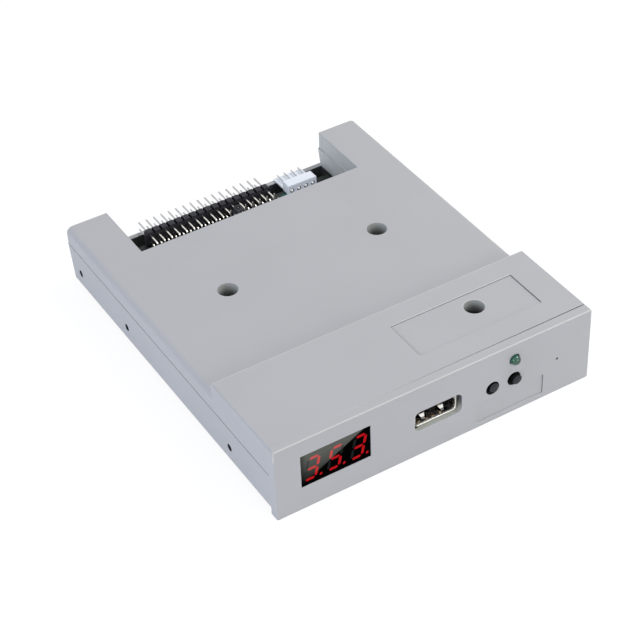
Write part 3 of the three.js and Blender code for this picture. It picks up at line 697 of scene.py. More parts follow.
BEZEL_LOW, BEZEL_HIGH, _ = node_box("lower_shell")
COVER_HIGH = node_box("upper_shell")[1]
BOARD_TOP = node_box("main_board")[1][2]
LENS_FRONT = node_box("display_lens")[0][1]
FACE = BEZEL_LOW[1]
HALF_WIDTH, CASE_REAR, CASE_TOP = BEZEL_HIGH
COVER_REAR, COVER_TOP = COVER_HIGH[1:]
PARTING = COVER_TOP - 10.14 * MM
UNDERSIDE = 2.6 * MM
BEZEL_BACK = FACE + 2.9 * MM
COVER_FRONT = BEZEL_BACK + 0.15 * MM
BLOCK_REAR = FACE + 32.2 * MM
MAIN_TOP = 20.1 * MM
BAY_HALF = 37.35 * MM
BAY_FRONT = FACE + 98.25 * MM
LIP_PAINT = (8.45 * MM, 8.25 * MM)
HOLE_PLACES = [(FACE + y * MM, 7.15 * MM) for y in (24.3, 84.3, 114.3)]
HOLE_RADIUS = 1.4 * MM
HOLE_DRAWN_SHARE = 0.2
LABEL = (1.35 * MM, 41.35 * MM, FACE + 10.3 * MM, FACE + 24.9 * MM)
LABEL_SINK = 0.35 * MM
KEY_FIELD_SIDE = 35 * MM
SPARE = 0.01 * MM
SKIN = 0.02 * MM
WALL = 1.5 * MM

# How far the finishes and softened edges of the shells reach

CORNER_END = 0.7 * MM
HOLE_BAND = (5 * MM, 9.5 * MM)
KEY_REACH = 2.4 * MM
WELL_REACH = 3.1 * MM
WELLS_HALF = 30 * MM
OPENINGS_HALF = 45 * MM
SOCKET_OPENING = (8 * MM, 8.5 * MM, 15.8 * MM)


# Finishes of the case


@once("materials")
def case_skin(name):
    look = bpy.context.scene.drive_case
    return plastic(name, look.plastic, 0.52, look.grain, specks=0.6, mottle=0.012)


# Painted shade for the tray's inside, the lower bay walls and the walls round the keys.
@once("materials")
def case_paint(name):
    look = bpy.context.scene.drive_case
    return plastic(name, look.paint, 0.7, 0.3 * MM, depth=0.01 * MM, mottle=0.15)


@once("materials")
def case_rubbed(name):
    """The softened edges: a painted highlight along the front block's top edges, painted shade
    where the label field steps down, and elsewhere as the skin."""
    look = bpy.context.scene.drive_case

    # Painted highlight along the front block's top edges.
    def block(tree, axes):
        front = maths(tree, "LESS_THAN", axes[1], BLOCK_REAR + 0.5 * MM)
        return maths(tree, "MULTIPLY", ranged(tree, axes[2], 20.5 * MM, 21.5 * MM), front)

    # Painted shade where the label field steps down.
    def label(tree, axes):
        inside = ranged(tree, axes[2], COVER_TOP - 0.28 * MM, COVER_TOP - 0.26 * MM)
        left, right, front, rear = LABEL
        for axis, at, side in ((0, left - 0.35 * MM, 1), (0, right + 0.35 * MM, -1),
                               (1, front + 0.5 * MM, 1), (1, rear + 0.06 * MM, -1)):
            step = ranged(tree, axes[axis], at, at + side * 0.02 * MM)
            inside = maths(tree, "MULTIPLY", inside, step)
        return inside

    edge = plastic(name, look.plastic, 0.45, look.grain, depth=0.002 * MM)
    return graded(graded(edge, block, look.plastic, look.rubbed), label, look.rubbed, look.field)


@once("materials")
def case_corner(name):
    """Painted shade on an opening's walls that lie in a corner's shadow."""
    look = bpy.context.scene.drive_case
    return plastic(name, look.corner, 0.6, look.grain)


@once("materials")
def case_line(name):
    """Painted shade on the low walls of shallow fields."""
    look = bpy.context.scene.drive_case
    return plastic(name, look.line, 0.7, look.grain)


@once("materials")
def case_bay_wall(name):
    """Wall of the bay: bare above the lip's height, with painted shade below it."""
    look = bpy.context.scene.drive_case
    return graded(plastic(name, look.bay, 0.52, look.grain),
                  lambda tree, axes: ranged(tree, axes[2], *LIP_PAINT), look.bay, look.paint)


@once("materials")
def case_opening(name):
    """Wall of the socket's opening, with painted light and shade: light along its bottom, painted
    shade up its sides, and painted deep shadow where it passes the shell's lower left corner."""
    look = bpy.context.scene.drive_case

    def nook(tree, axes):
        left = ranged(tree, axes[0], -5.5 * MM, -5.9 * MM)
        deep = ranged(tree, axes[1], FACE + 1.1 * MM, FACE + 1.5 * MM)
        return maths(tree, "MULTIPLY", left, deep)

    wall = graded(plastic(name, look.ledge, 0.5, look.grain),
                  lambda tree, axes: ranged(tree, axes[2], 9.2 * MM, 12.5 * MM, smooth=True),
                  look.ledge, look.corner)
    return graded(wall, nook, (1, 1, 1), (0.02, 0.02, 0.02))


@once("materials")
def case_well(name):
    """Wall of a screw well, with painted shade: its tone falls off with the depth below the
    cover's top there.
    """
    look = bpy.context.scene.drive_case

    def depth(tree, axes):
        front = maths(tree, "LESS_THAN", axes[1], BLOCK_REAR)
        top = maths(tree, "MULTIPLY_ADD", front, COVER_TOP - MAIN_TOP, MAIN_TOP)
        below = maths(tree, "SUBTRACT", top, axes[2])
        return ranged(tree, below, 1.2 * MM, 6.2 * MM, smooth=True)

    return graded(plastic(name, look.well, 0.55, look.grain), depth, look.well, look.well_floor)


def in_bay(x, y, normal):
    """Faces of the bay's side walls."""
    return (np.abs(normal[:, 0]) > 0.9) & (y > BAY_FRONT) & (np.abs(x) < BAY_HALF + 0.1 * MM)


class DRIVE_OT_lower_shell(bpy.types.Operator):
    """Tray and bezel in one moulding, with softened edges and painted shade inside the tray"""

    bl_idname = "drive.lower_shell"
    bl_label = "Lower shell"

    def execute(self, context):
        look = context.scene.drive_case

        def radius_of(x, y, z):
            side, low = near(np.abs(x), HALF_WIDTH), z < PARTING - SPARE
            corner = (z < CORNER_END) | (z > CASE_TOP - CORNER_END)
            rim = side | near(z, 0) | near(z, CASE_TOP)
            rim |= corner & (np.abs(x) > HALF_WIDTH - CORNER_END)
            face = near(y, FACE)
            back = near(y, BEZEL_BACK) & ((z < UNDERSIDE) | (z > PARTING)) & rim
            hole = side & (y > BEZEL_BACK + 1 * MM) & between(z, *HOLE_BAND)
            parting = near(z, PARTING) & (side | near(y, CASE_REAR))
            parting &= y > BEZEL_BACK + 0.1 * MM
            return choose(
                (face & rim, look.face_edge), (face, look.rim),
                (back & near(z, CASE_TOP), look.crease * 0.4), (back | hole, look.crease),
                (parting, look.crease * 2),
                ((y > BEZEL_BACK) & low & (near(z, UNDERSIDE) | side), look.outer_edge),
                ((y > BAY_FRONT) & low, look.rim))

        def draw_in(points):
            """The side holes' rims are drawn in a little, and the top is kept in the box."""
            side = np.abs(points[:, 0]) > HALF_WIDTH - 6 * MM
            for place in HOLE_PLACES:
                away = points[:, 1:] - place
                hole = side & (np.hypot(*away.T) < HOLE_RADIUS + 0.1 * MM)
                points[hole, 1:] -= away[hole] * HOLE_DRAWN_SHARE
            points[:, 2] = np.minimum(points[:, 2], CASE_TOP - SPARE)
            return points

        # Finish 1 paints a highlight and shade onto the softened edges.
        shell = softened("case_lower", "lower_shell", radius_of,
                         [case_skin(), case_rubbed(), case_paint(), case_bay_wall(),
                          case_corner(), case_line(), case_opening()],
                         rubbed=1, segments=3, move=draw_in)
        x, y, z = values(shell.data.polygons, "center", 3).T
        normal = values(shell.data.polygons, "normal", 3)
        # Faces inside the tray take finish 2, painted shade.
        inside = (np.abs(x) < HALF_WIDTH - WALL) & (z > UNDERSIDE + WALL)
        inside &= between(y, BEZEL_BACK - SPARE, CASE_REAR - WALL)
        bay = inside & in_bay(x, y, normal) | near(z, PARTING) & (normal[:, 2] > 0.9)
        # The walls round each key take the same painted shade.
        for side in ("left", "right"):
            middle = node_box(f"button_{side}")[2]
            around = np.hypot(x - middle[0], z - middle[2]) < KEY_REACH
            inside |= around & between(y, FACE + SKIN, BEZEL_BACK + 0.5 * MM)
        bezel = between(y, FACE + SKIN, BEZEL_BACK - SKIN) & (np.abs(x) < OPENINGS_HALF)
        # The walls of the socket's opening take finish 6, painted light and shade.
        half, bottom, top = SOCKET_OPENING
        socket = bezel & (np.abs(x) < half) & between(z, bottom, top)
        # Walls of the bezel's openings that face left take finish 4, painted shade.
        dark = bezel & (normal[:, 0] < -0.4)
        # The key field's right wall takes finish 5, a darker painted shade.
        field = dark & near(x, KEY_FIELD_SIDE, 1 * MM)
        finish_faces(shell, choose((bay, 3), (inside, 2), (socket, 6), (field, 5), (dark, 4)))
        return {"FINISHED"}


class DRIVE_OT_upper_shell(bpy.types.Operator):
    """Cover with its raised front block and two ears, closing on the bezel at the left"""

    bl_idname = "drive.upper_shell"
    bl_label = "Upper shell"

    def execute(self, context):
        look = context.scene.drive_case
        left, right, front, rear = LABEL

        def radius_of(x, y, z):
            top = near(z, MAIN_TOP) | near(z, COVER_TOP)
            label = between(x, left - 0.1 * MM, right + 0.1 * MM)
            label &= between(y, front - 0.1 * MM, rear + 0.1 * MM)
            rim = label & near(z, COVER_TOP)
            well = top & between(y, BEZEL_BACK + 1 * MM, BAY_FRONT - 1 * MM)
            well &= (np.abs(x) < WELLS_HALF) & ~near(y, BLOCK_REAR)
            well |= label & near(z, COVER_TOP - LABEL_SINK)
            outer = near(np.abs(x), HALF_WIDTH) | near(y, COVER_REAR)
            return choose(
                (rim & near(y, rear), look.crease * 2), (rim & near(x, left), look.crease * 2.4),
                (rim, look.crease * 1.4), (well, look.rim),
                (near(y, COVER_FRONT) & (z > PARTING), look.crease * 0.4),
                (near(z, PARTING) & outer, look.crease * 2),
                (near(y, BLOCK_REAR) & (z > MAIN_TOP - SPARE), look.outer_edge * 1.6),
                (near(y, COVER_REAR) & (z > PARTING), look.outer_edge),
                (near(z, MAIN_TOP) & (y > BAY_FRONT - SPARE), look.rim))

        def close_gap(points):
            """The cover's front face is turned so that its gap grows evenly to the right, and
            it runs a hair into the bezel left of the gap's start."""
            place = (points[:, 0] + HALF_WIDTH) / (2 * HALF_WIDTH)
            gap = look.gap * (place - look.gap_start) / (1 - look.gap_start)
            points[:, 1] = np.where(near(points[:, 1], COVER_FRONT), BEZEL_BACK + gap, points[:, 1])
            points[:, 2] = np.minimum(points[:, 2], COVER_TOP - SPARE)
            return points

        # Finish 1 paints a highlight and shade onto the softened edges.
        shell = softened("case_upper", "upper_shell", radius_of,
                         [case_skin(), case_rubbed(), case_paint(), case_well(),
                          case_corner(), case_line(), case_bay_wall()],
                         rubbed=1, segments=3, move=close_gap)
        x, y, z = values(shell.data.polygons, "center", 3).T
        # The walls of the screw wells take finish 3, painted shade.
        well = np.zeros(len(x), bool)
        for number in (1, 2, 3):
            middle = node_box(f"case_screw_{number}")[2]
            well |= np.hypot(x - middle[0], y - middle[1]) < WELL_REACH
        low = z < np.where(y < BLOCK_REAR, COVER_TOP, MAIN_TOP) - 0.5 * MM
        # The label field's low walls take finish 4, painted shade.
        field = between(x, left - 0.2 * MM, right + 0.05 * MM) & ~well
        field &= between(y, front + 0.05 * MM, rear + 0.05 * MM)
        field &= between(z, COVER_TOP - 0.33 * MM, COVER_TOP - 0.015 * MM)
        bay = in_bay(x, y, values(shell.data.polygons, "normal", 3))
        finish_faces(shell, choose((well & low, 3), (field, 4), (bay, 6)))
        return {"FINISHED"}


class DRIVE_OT_case_screws(bpy.types.Operator):
    """Three screws at the bottom of the wells, with a cross recess and a cut thread"""

    bl_idname = "drive.case_screws"
    bl_label = "Case screws"

    head_height = 1.9 * MM
    head_fall = 0.3 * MM
    bar = (1.65 * MM, 0.34 * MM)
    core, thread_depth, tip = 0.98 * MM, 0.3 * MM, 1.2 * MM

    def execute(self, context):
        look = context.scene.drive_screw
        steel = metal("screw_steel", look.steel, 0.38, stretch=(1, 1, 1), tarnish=0.3)
        for number in (1, 2, 3):
            node_name = f"case_screw_{number}"
            low, high, middle = node_box(node_name)
            surface = Surface()
            for part in (self.head(look, high, middle), self.shank(look, low, high, middle)):
                surface.grid(part, caps=(False, True))
            piece_of(f"screw_{number}", surface, [steel], (node_name,))
        return {"FINISHED"}

    def head(self, look, high, middle):
        """Pan head as a height over radius and angle: a shallow dome that falls off at its rim,
        less the recess depth where the point lies in one of two crossed bars."""
        radius = high[0] - middle[0]
        ring = np.concatenate([np.linspace(0.02, 0.9, 26),
                               np.sin(np.linspace(1.12, math.pi / 2, 5))])
        angle = np.linspace(0, 2 * math.pi, 96, endpoint=False)
        r, a = np.meshgrid(ring * radius, angle, indexing="ij")
        x, y = r * np.cos(a), r * np.sin(a)
        fall = (np.clip(r / radius - 0.85, 0, 1) / 0.15) ** 2
        dome = high[2] - self.head_fall * (r / radius) ** 2 - self.head_fall * fall
        long, wide = self.bar
        cross = (np.abs(x) < long) & (np.abs(y) < wide) | (np.abs(y) < long) & (np.abs(x) < wide)
        depth = look.recess * np.clip(1.35 - np.hypot(x, y) / (1.6 * MM), 0.25, 1)
        upper = np.stack([x + middle[0], y + middle[1], np.where(cross, dome - depth, dome)],
                         axis=-1)
        rim = upper[-1:].copy()
        rim[..., 2] = high[2] - self.head_height
        foot = rim.copy()
        foot[..., :2] = middle[:2] + (foot[..., :2] - middle[:2]) * 0.4
        return np.concatenate([upper, rim, foot])

    def shank(self, look, low, high, middle):
        """A screw thread: the radius is the core plus the thread's depth times a triangle wave
        of height over pitch plus angle over a full turn, and it runs out at the tip."""
        height = np.linspace(high[2] - self.head_height, low[2], 90)
        angle = np.linspace(0, 2 * math.pi, 24, endpoint=False)
        z, a = np.meshgrid(height, angle, indexing="ij")
        wave = np.abs(((z / look.thread + a / (2 * math.pi)) % 1) * 2 - 1)
        run_out = np.clip((z - low[2]) / self.tip, 0.3, 1)
        r = (self.core + self.thread_depth * wave) * run_out
        return np.stack([middle[0] + r * np.cos(a), middle[1] + r * np.sin(a), z], axis=-1)


# Board and headers

PITCH = 2.54 * MM


@once("materials")
def strip_black(name):
    return plastic(name, bpy.context.scene.drive_header.plastic, 0.5, 0.12 * MM, mottle=0.1,
                   Specular_IOR_Level=0.2)


@once("materials")
def strip_groove(name):
    """Walls of the grooves between two columns, which hold dust and little light."""
    return plastic(name, linear(10, 10, 11), 0.8, 0.12 * MM, Specular_IOR_Level=0.05)


@once("materials")
def tinned_pin(name):
    """Tinned pins: bright where they leave the board, and duller behind the ribbon strip."""
    look = bpy.context.scene.drive_header
    rear = FACE + 115.3 * MM
    return graded(metal(name, look.pin, 0.22),
                  lambda tree, axes: ranged(tree, axes[1], rear, rear + 0.4 * MM),
                  look.pin, look.tip)


def strip_outline(places, low, high, notch, cut):
    """Outline of a pin strip: a rectangle with a V notch in both long sides between two
    columns. Each side is a row of points at its own height, less the notch where two columns
    meet, and the whole outline is drawn in by the cut."""
    pitch = places[1] - places[0]
    bounds = np.append(places - pitch / 2, places[-1] + pitch / 2)
    inner = bounds[1:-1]
    x = np.concatenate([
        [bounds[0] + cut, bounds[0] + cut + notch],
        np.stack([inner - notch / 2, inner, inner + notch / 2], axis=-1).ravel(),
        [bounds[-1] - cut - notch, bounds[-1] - cut],
    ])
    drop = np.concatenate([[notch, 0], np.tile([0, notch, 0], len(inner)), [0, notch]])
    lower = np.stack([x, low + cut + drop], axis=-1)
    upper = np.stack([x, high - cut - drop], axis=-1)[::-1]
    return np.concatenate([lower, upper])


def add_strip(surface, look, places, sides, ends, axis, groove):
    """A pin strip with eased ends, whose notch walls have the groove's finish."""
    along, cuts = eased(*ends, look.edge)
    rings = [strip_outline(places, *sides, look.notch, cut) for cut in cuts]
    side = np.concatenate([[0, 0], np.tile([groove, groove, 0], len(places) - 1), [0, 0]])
    surface.solid(stacked(rings, along, axis), np.concatenate([side, side]))


class DRIVE_OT_board(bpy.types.Operator):
    """Circuit board with copper under its lacquer, pad rings round the pins, small parts"""

    bl_idname = "drive.board"
    bl_label = "Circuit board"

    # Bounds in millimetres of the painted pool of light beside the power header.
    bright_x = (17.8, 18.6, 20.2, 20.8)
    bright_y = (109.0, 110.0, 112.8, 113.6)
    chips = ((16.2, 103.2, False), (18.6, 103.2, False), (17.4, 108.4, True),
             (-31.5, 104.4, True), (-31.5, 107.4, True), (33.4, 106.2, False))

    def execute(self, context):
        look = context.scene.drive_board
        paint_node("main_board", self.lacquer(look))
        solder = metal("solder", look.solder, 0.45, stretch=(1, 1, 1), line=0.2 * MM)
        self.rings(look, solder)
        self.small_parts(solder)
        return {"FINISHED"}

    def lacquer(self, look):
        """Lacquered board: copper tracks are square cells of two sizes in a fixed pattern, seen
        as a lighter tone and a low step; a painted pool of light lies beside the power header."""
        material, tree, shader = start_material("board_lacquer", Coat_Weight=0.04,
                                                Specular_IOR_Level=0.2, Coat_Roughness=0.15)
        axes = axes_of(tree)

        def band(axis, origin, places):
            start, full, fading, end = (origin + place * MM for place in places)
            return maths(tree, "MULTIPLY", ranged(tree, axes[axis], start, full),
                         ranged(tree, axes[axis], end, fading))

        cells = node(tree, "TexVoronoi", {
            "Vector": object_place(tree), "Scale": 420.0, "Randomness": 0.8},
            distance="CHEBYCHEV").outputs["Color"]
        copper = ranged(tree, node(tree, "SeparateColor", {"Color": cells}).outputs[0], 0.42, 0.5)
        # Painted pool of light beside the power header.
        bright = maths(tree, "MULTIPLY", band(0, 0, self.bright_x), band(1, FACE, self.bright_y))
        base = blended(tree, copper, look.lacquer, look.copper)
        feed(tree, shader, Base_Color=blended(tree, bright, base, look.bright),
             Roughness=ranged(tree, noise(tree, 1500.0, 4.0), 0.3, 0.7, 0.28, 0.5),
             Normal=bump(tree, copper, 0.03 * MM))
        return material

    def rings(self, look, solder):
        """Tinned ring round every pin: a profile from the pin out to the pad's edge, low and
        flat but for the solder that climbs the pin, turned once round."""
        surface = Surface()
        profile = [(0.2, -0.05), (look.pad / MM, -0.05), (look.pad / MM, 0.03), (0.55, 0.06),
                   (0.4, 0.14), (0.34, 0.28), (0.2, 0.28)]
        profile = np.array(profile) * MM + [0, BOARD_TOP]
        for name in frame["nodes"]:
            if name.startswith("floppy_pin_"):
                low, _, middle = node_box(name)
                centre = (middle[0], low[1] + 0.32 * MM, 0)
                surface.solid(turned(profile, centre, 20, axis=2))
        piece_of("board_pads", surface, [solder])

    def small_parts(self, solder):
        """Chip resistors and capacitors: a rounded body with a tinned cap at each end."""
        body = plastic("board_part", linear(58, 52, 46), 0.45, 0.1 * MM)
        surface = Surface()
        corner, edge, grown, cap = 0.08 * MM, 0.06 * MM, 0.02 * MM, 0.3 * MM
        for x, y, upright in self.chips:
            half = np.array([0.45, 0.8] if upright else [0.8, 0.45]) * MM
            centre = np.array([x * MM, FACE + y * MM])
            low = np.append(centre - half, BOARD_TOP - grown)
            high = np.append(centre + half, BOARD_TOP + 0.5 * MM)
            surface.solid(soft_block(low, high, corner, edge))
            long = int(upright)
            for side in (-1, 1):
                cap_low, cap_high = low - grown, high + grown
                inner = cap_low if side > 0 else cap_high
                inner[long] = centre[long] + side * (half[long] - cap)
                surface.solid(soft_block(cap_low, cap_high, corner, edge), 1)
        piece_of("board_parts", surface, [body, solder])


class DRIVE_OT_ribbon_header(bpy.types.Operator):
    """Right-angle header of the ribbon cable: a black strip and 34 bent, tinned pins"""

    bl_idname = "drive.ribbon_header"
    bl_label = "Ribbon header"

    columns = 17

    def execute(self, context):
        look = context.scene.drive_header
        low, high, _ = node_box("floppy_header_housing")
        places = low[0] + (high[0] - low[0]) / self.columns * (np.arange(self.columns) + 0.5)
        strip = Surface()
        add_strip(strip, look, places, (low[2], high[2]), (low[1] + 0.35 * MM, high[1]), 1, 1)
        piece_of("ribbon_strip", strip, [strip_black(), strip_groove()],
                 ("floppy_header_housing",))
        for row in ("upper", "lower"):
            for number in range(1, self.columns + 1):
                self.pin(look, f"pin_{row}_{number:02d}")
        return {"FINISHED"}

    def pin(self, look, name):
        """A square pin from under the board up to its row and out to the rear: a rounded square
        carried along two straight runs and a quarter turn between them."""
        low, high, middle = node_box("floppy_" + name)
        half = middle[0] - low[0]
        row, leg = high[2] - half, low[1] + half
        path = bend_points((middle[0], leg, low[2]), (middle[0], leg, row),
                           (middle[0], high[1], row), look.bend)
        path, scale = spread(path, look.taper)
        surface = Surface()
        surface.solid(carried(path, square_of(look.thin / 2), scale))
        piece_of("ribbon_" + name, surface, [tinned_pin()], ("floppy_" + name,))


class DRIVE_OT_jumper_header(bpy.types.Operator):
    """Upright two-row pin strip and the cap that shorts one pair of its pins"""

    bl_idname = "drive.jumper_header"
    bl_label = "Jumper header and cap"

    def execute(self, context):
        look = context.scene.drive_header
        low, high, middle = node_box("jumper_header")
        places = low[0] + PITCH * (np.arange(7) + 0.5)
        surface = Surface()
        add_strip(surface, look, places, (low[1], high[1]), (BOARD_TOP, BOARD_TOP + PITCH), 2, 2)
        heights = [low[2], low[2] + look.taper, high[2] - look.taper, high[2]]
        for x in places:
            for y in (middle[1] - PITCH / 2, middle[1] + PITCH / 2):
                path = [[x, y, z] for z in heights]
                surface.solid(carried(path, square_of(look.thin / 2), [0.5, 1, 1, 0.5]), 1)
        piece_of("jumper_strip", surface,
                 [strip_black(), tinned_pin(), strip_groove()], ("jumper_header",))
        softened("jumper_shunt", "jumper_cap", look.edge, [strip_black()],
                 body="jumper_cap")
        return {"FINISHED"}


class DRIVE_OT_power_header(bpy.types.Operator):
    """White power header with its rear shelf and four tinned pins"""

    bl_idname = "drive.power_header"
    bl_label = "Power header"

    dome_radius = 0.38 * MM
    dome_rise = 0.3 * MM
    tail_rise = 0.25 * MM
    tail_share = 0.85

    def execute(self, context):
        look = context.scene.drive_header
        # The nylon glows with painted light, standing in for light that comes through it.
        nylon = plastic("nylon", look.nylon, 0.4, 0.2 * MM,
                        Emission_Color=(*look.nylon_glow, 1), Emission_Strength=1.0)
        # The pins' front ends glow with a painted glint.
        tip = plastic("pin_end", look.pin, 0.3, 0.1 * MM,
                      Emission_Color=(*look.pin_end, 1), Emission_Strength=1.0)
        # Painted shade in the pockets round the pins.
        pocket = plastic("nylon_pocket", look.pocket, 0.5, 0.2 * MM)
        low, high, _ = node_box("power_header_housing")
        housing = softened("power_housing", "power_header_housing",
                           lambda x, y, z: np.where(near(z, high[2]), 0.4 * MM, 0.08 * MM),
                           [nylon, pocket], segments=3)
        x, y, z = values(housing.data.polygons, "center", 3).T
        pins = np.array([node_box(f"power_pin_{n}")[2][0] for n in range(1, 5)])
        beside = near(x[:, None], pins, 0.8 * MM).any(axis=1)
        beside &= near(z, BOARD_TOP + 1.3 * MM, 0.8 * MM)
        finish_faces(housing, beside & between(y, low[1] + 0.02 * MM, low[1] + 1 * MM))
        for number in range(1, 5):
            self.pin(look, number, [tinned_pin(), tip])
        return {"FINISHED"}

    def pin(self, look, number, finishes):
        low, high, middle = node_box(f"power_pin_{number}")
        x, row, leg = middle[0], high[2] - (middle[0] - low[0]), FACE + 113.3 * MM
        square = square_of(look.thin / 2)
        tail = np.array([[x, low[1] + 1 * MM, row], [x, high[1] - look.taper, row],
                         [x, high[1], row]])
        tail[1:, 2] += self.tail_rise
        down = [[x, leg, row], [x, leg, low[2] + look.taper], [x, leg, low[2]]]
        surface = Surface()
        surface.solid(carried(tail, square * self.tail_share, [1, 1, 0.5]))
        surface.solid(carried(down, square, [1, 1, 0.5]))
        surface.solid(self.end(low, (x, 0, row)), 1)
        piece_of(f"power_prong_{number}", surface, finishes,
                 (f"power_pin_{number}",))

    def end(self, low, centre):
        """The pin's front end is a small dome turned round the pin's axis: its radius is a sine
        and its depth one minus the cosine of a quarter turn."""
        front = low[1] - self.dome_rise
        dome = [(self.dome_radius * math.sin(a), front + self.dome_rise * (1 - math.cos(a)))
                for a in np.linspace(0.05, math.pi / 2, 7)]
        return turned(dome + [(self.dome_radius, low[1] + 0.6 * MM)], centre, 24)


# Socket

SOCKET_PLACE = np.array([0.1, 12.2]) * MM
SOCKET_HALF = np.array([13.3, 5.8]) / 2 * MM
SOCKET_ENDS = (FACE + 1.5 * MM, FACE + 15 * MM)
SPRINGS = [(x * MM, side) for side in (-1, 1) for x in (-2.75, 3.4)]
SPRING_WINDOW = (1.15 * MM, 1.5 * MM, 6.6 * MM)
SPRING_ROOT, SPRING_RUN = 8.3, 5.1
SPRING_CREST, SPRING_CLIMB, SPRING_FALL = 4.2 * MM, 3.6 * MM, 0.9 * MM
CONTACTS = (-3.5, -1.0, 1.0, 3.5)


class DRIVE_OT_socket(bpy.types.Operator):
    """Stick socket: folded shell with a flared mouth and springs, black insert, gold contacts"""

    bl_idname = "drive.socket"
    bl_label = "Stick socket"

    def execute(self, context):
        look = context.scene.drive_socket
        plate = metal("socket_plate", look.plate, 0.14, line=0.08 * MM, tarnish=0.05)
        self.shell(look, plate)
        self.springs(look, plate)
        softened("socket_insert", "usb_tongue", 0.12 * MM,
                 [plastic("socket_black", look.plastic, 0.35, 0.12 * MM)])
        self.contacts(metal("socket_gold", look.gold, 0.16, tarnish=0.05))
        return {"FINISHED"}

    def shell(self, look, plate):
        """The shell is a rounded rectangle carried from its mouth to its rear. Near the mouth it
        widens by the flare times the square of what is left to the lip. A window in the top or
        bottom plate is left out round each spring."""
        front, rear = SOCKET_ENDS
        outline = self.even(rounded_outline(*(SOCKET_HALF - look.sheet / 2), 0.8 * MM, 8),
                            0.2 * MM)
        depth = np.concatenate([np.linspace(0, 0.9, 8), np.linspace(1.1, 13.5, 63)]) * MM
        depth = np.minimum(depth, rear - front)
        flare = look.flare * np.clip(1 - depth / (0.8 * MM), 0, 1) ** 2
        flat = outline[None] + self.outwards(outline)[None] * flare[:, None, None]
        x, z = flat[..., 0], flat[..., 1]
        y = np.broadcast_to(depth[:, None], x.shape)
        keep = np.ones((len(depth) - 1, len(outline)), bool)
        middle_x = (x[:-1] + np.roll(x, -1, axis=1)[:-1]) / 2
        middle_y = (y[:-1] + y[1:]) / 2
        reach, start, end = SPRING_WINDOW
        for centre, side in SPRINGS:
            window = near(middle_x + SOCKET_PLACE[0], centre, reach)
            window &= between(middle_y, start, end)
            keep &= ~(window & (np.sign(outline[:, 1]) == side)[None, :])
        points = np.stack([x + SOCKET_PLACE[0], y + front, z + SOCKET_PLACE[1]], axis=-1)
        surface = Surface()
        surface.grid(points, keep=keep)
        back = np.stack([points[-1], points[-1]])
        for axis, place, shrink in ((0, SOCKET_PLACE[0], 0.93), (2, SOCKET_PLACE[1], 0.86)):
            back[1, :, axis] = place + (back[1, :, axis] - place) * shrink
        surface.grid(back)
        piece = piece_of("socket_shell", surface, [plate], ("usb_shell",),
                         smooth=50)
        wall = piece.modifiers.new("Sheet", "SOLIDIFY")
        wall.thickness = look.sheet
        wall.offset = 0

    def springs(self, look, plate):
        """A spring is a rounded strip carried from its root in the plate forwards to its tip. It
        climbs evenly from the root, then falls at 45 degrees while it grows narrower."""
        surface = Surface()
        y = (SPRING_ROOT - SPRING_RUN * np.linspace(0, 1, 34)) * MM
        fall = np.clip((SPRING_CREST - y) / SPRING_FALL, 0, 1)
        climb = np.clip((SPRING_ROOT * MM - y) / SPRING_CLIMB, 0, 1)
        height = look.spring * (climb * (2 - climb) - fall * 0.95)
        wide = (0.9 - 0.42 * fall) * MM
        outline = rounded_outline(1.0, look.sheet / 2, look.sheet * 0.3, 2)
        for centre, side in SPRINGS:
            plate_z = SOCKET_PLACE[1] + side * (SOCKET_HALF[1] - look.sheet / 2)
            surface.solid(np.stack(np.broadcast_arrays(
                centre + outline[None, :, 0] * wide[:, None], FACE + y[:, None],
                (plate_z - side * height)[:, None] + outline[None, :, 1]), axis=-1))
        piece_of("socket_springs", surface, [plate], smooth=30)

    def even(self, outline, step):
        """The outline with points at about even steps along it, corners kept."""
        following = np.roll(outline, -1, axis=0)
        count = np.maximum(np.round(np.linalg.norm(following - outline, axis=1) / step), 1)
        return np.concatenate([a + (b - a) * np.arange(int(n))[:, None] / n
                               for a, b, n in zip(outline, following, count)])

    def outwards(self, outline):
        run = np.roll(outline, -1, axis=0) - np.roll(outline, 1, axis=0)
        normal = np.stack([run[:, 1], -run[:, 0]], axis=-1)
        return normal / np.linalg.norm(normal, axis=1, keepdims=True)

    def contacts(self, gold):
        """Four gold strips under the tongue: a thin rounded bar carried along a line that dips
        in a raised cosine near the mouth."""
        surface = Surface()
        y = np.linspace(3.75, 12.5, 48) * MM
        dip = 1.0 * MM * np.clip(np.cos((y - 4.75 * MM) * math.pi / (3.0 * MM)), 0, 1)
        z = SOCKET_PLACE[1] + 0.48 * MM - np.where(y < 8 * MM, dip, 0)
        bar = rounded_outline(0.45 * MM, 0.1 * MM, 0.05 * MM, 2)
        for x in CONTACTS:
            along = np.full(len(y), SOCKET_PLACE[0] + x * MM)
            surface.solid(carried(np.stack([along, FACE + y, z], axis=-1), bar))
        piece_of("socket_contacts", surface, [gold])


# Screen

BAR_SETS = {"0": "abcdef", "1": "bc", "2": "abdeg", "3": "abcdg", "4": "bcfg", "5": "acdfg",
            "6": "acdefg", "7": "abc", "8": "abcdefg", "9": "abcdfg"}
BAR_ENDS = {"a": ((-1, 1), (1, 1)), "d": ((-1, -1), (1, -1)), "g": ((-1, 0), (1, 0)),
            "b": ((1, 1), (1, 0)), "c": ((1, 0), (1, -1)), "f": ((-1, 1), (-1, 0)),
            "e": ((-1, 0), (-1, -1))}
DIGITS_MIDDLE = np.array([-32.33, 13.28]) * MM
POINT_PLACE = np.array([3.3, -3.41]) * MM
BAR_INSET = 0.34 * MM
SHEEN_START = np.array([-37.3, 11.6]) * MM
SHEEN_SLOPE = 0.526


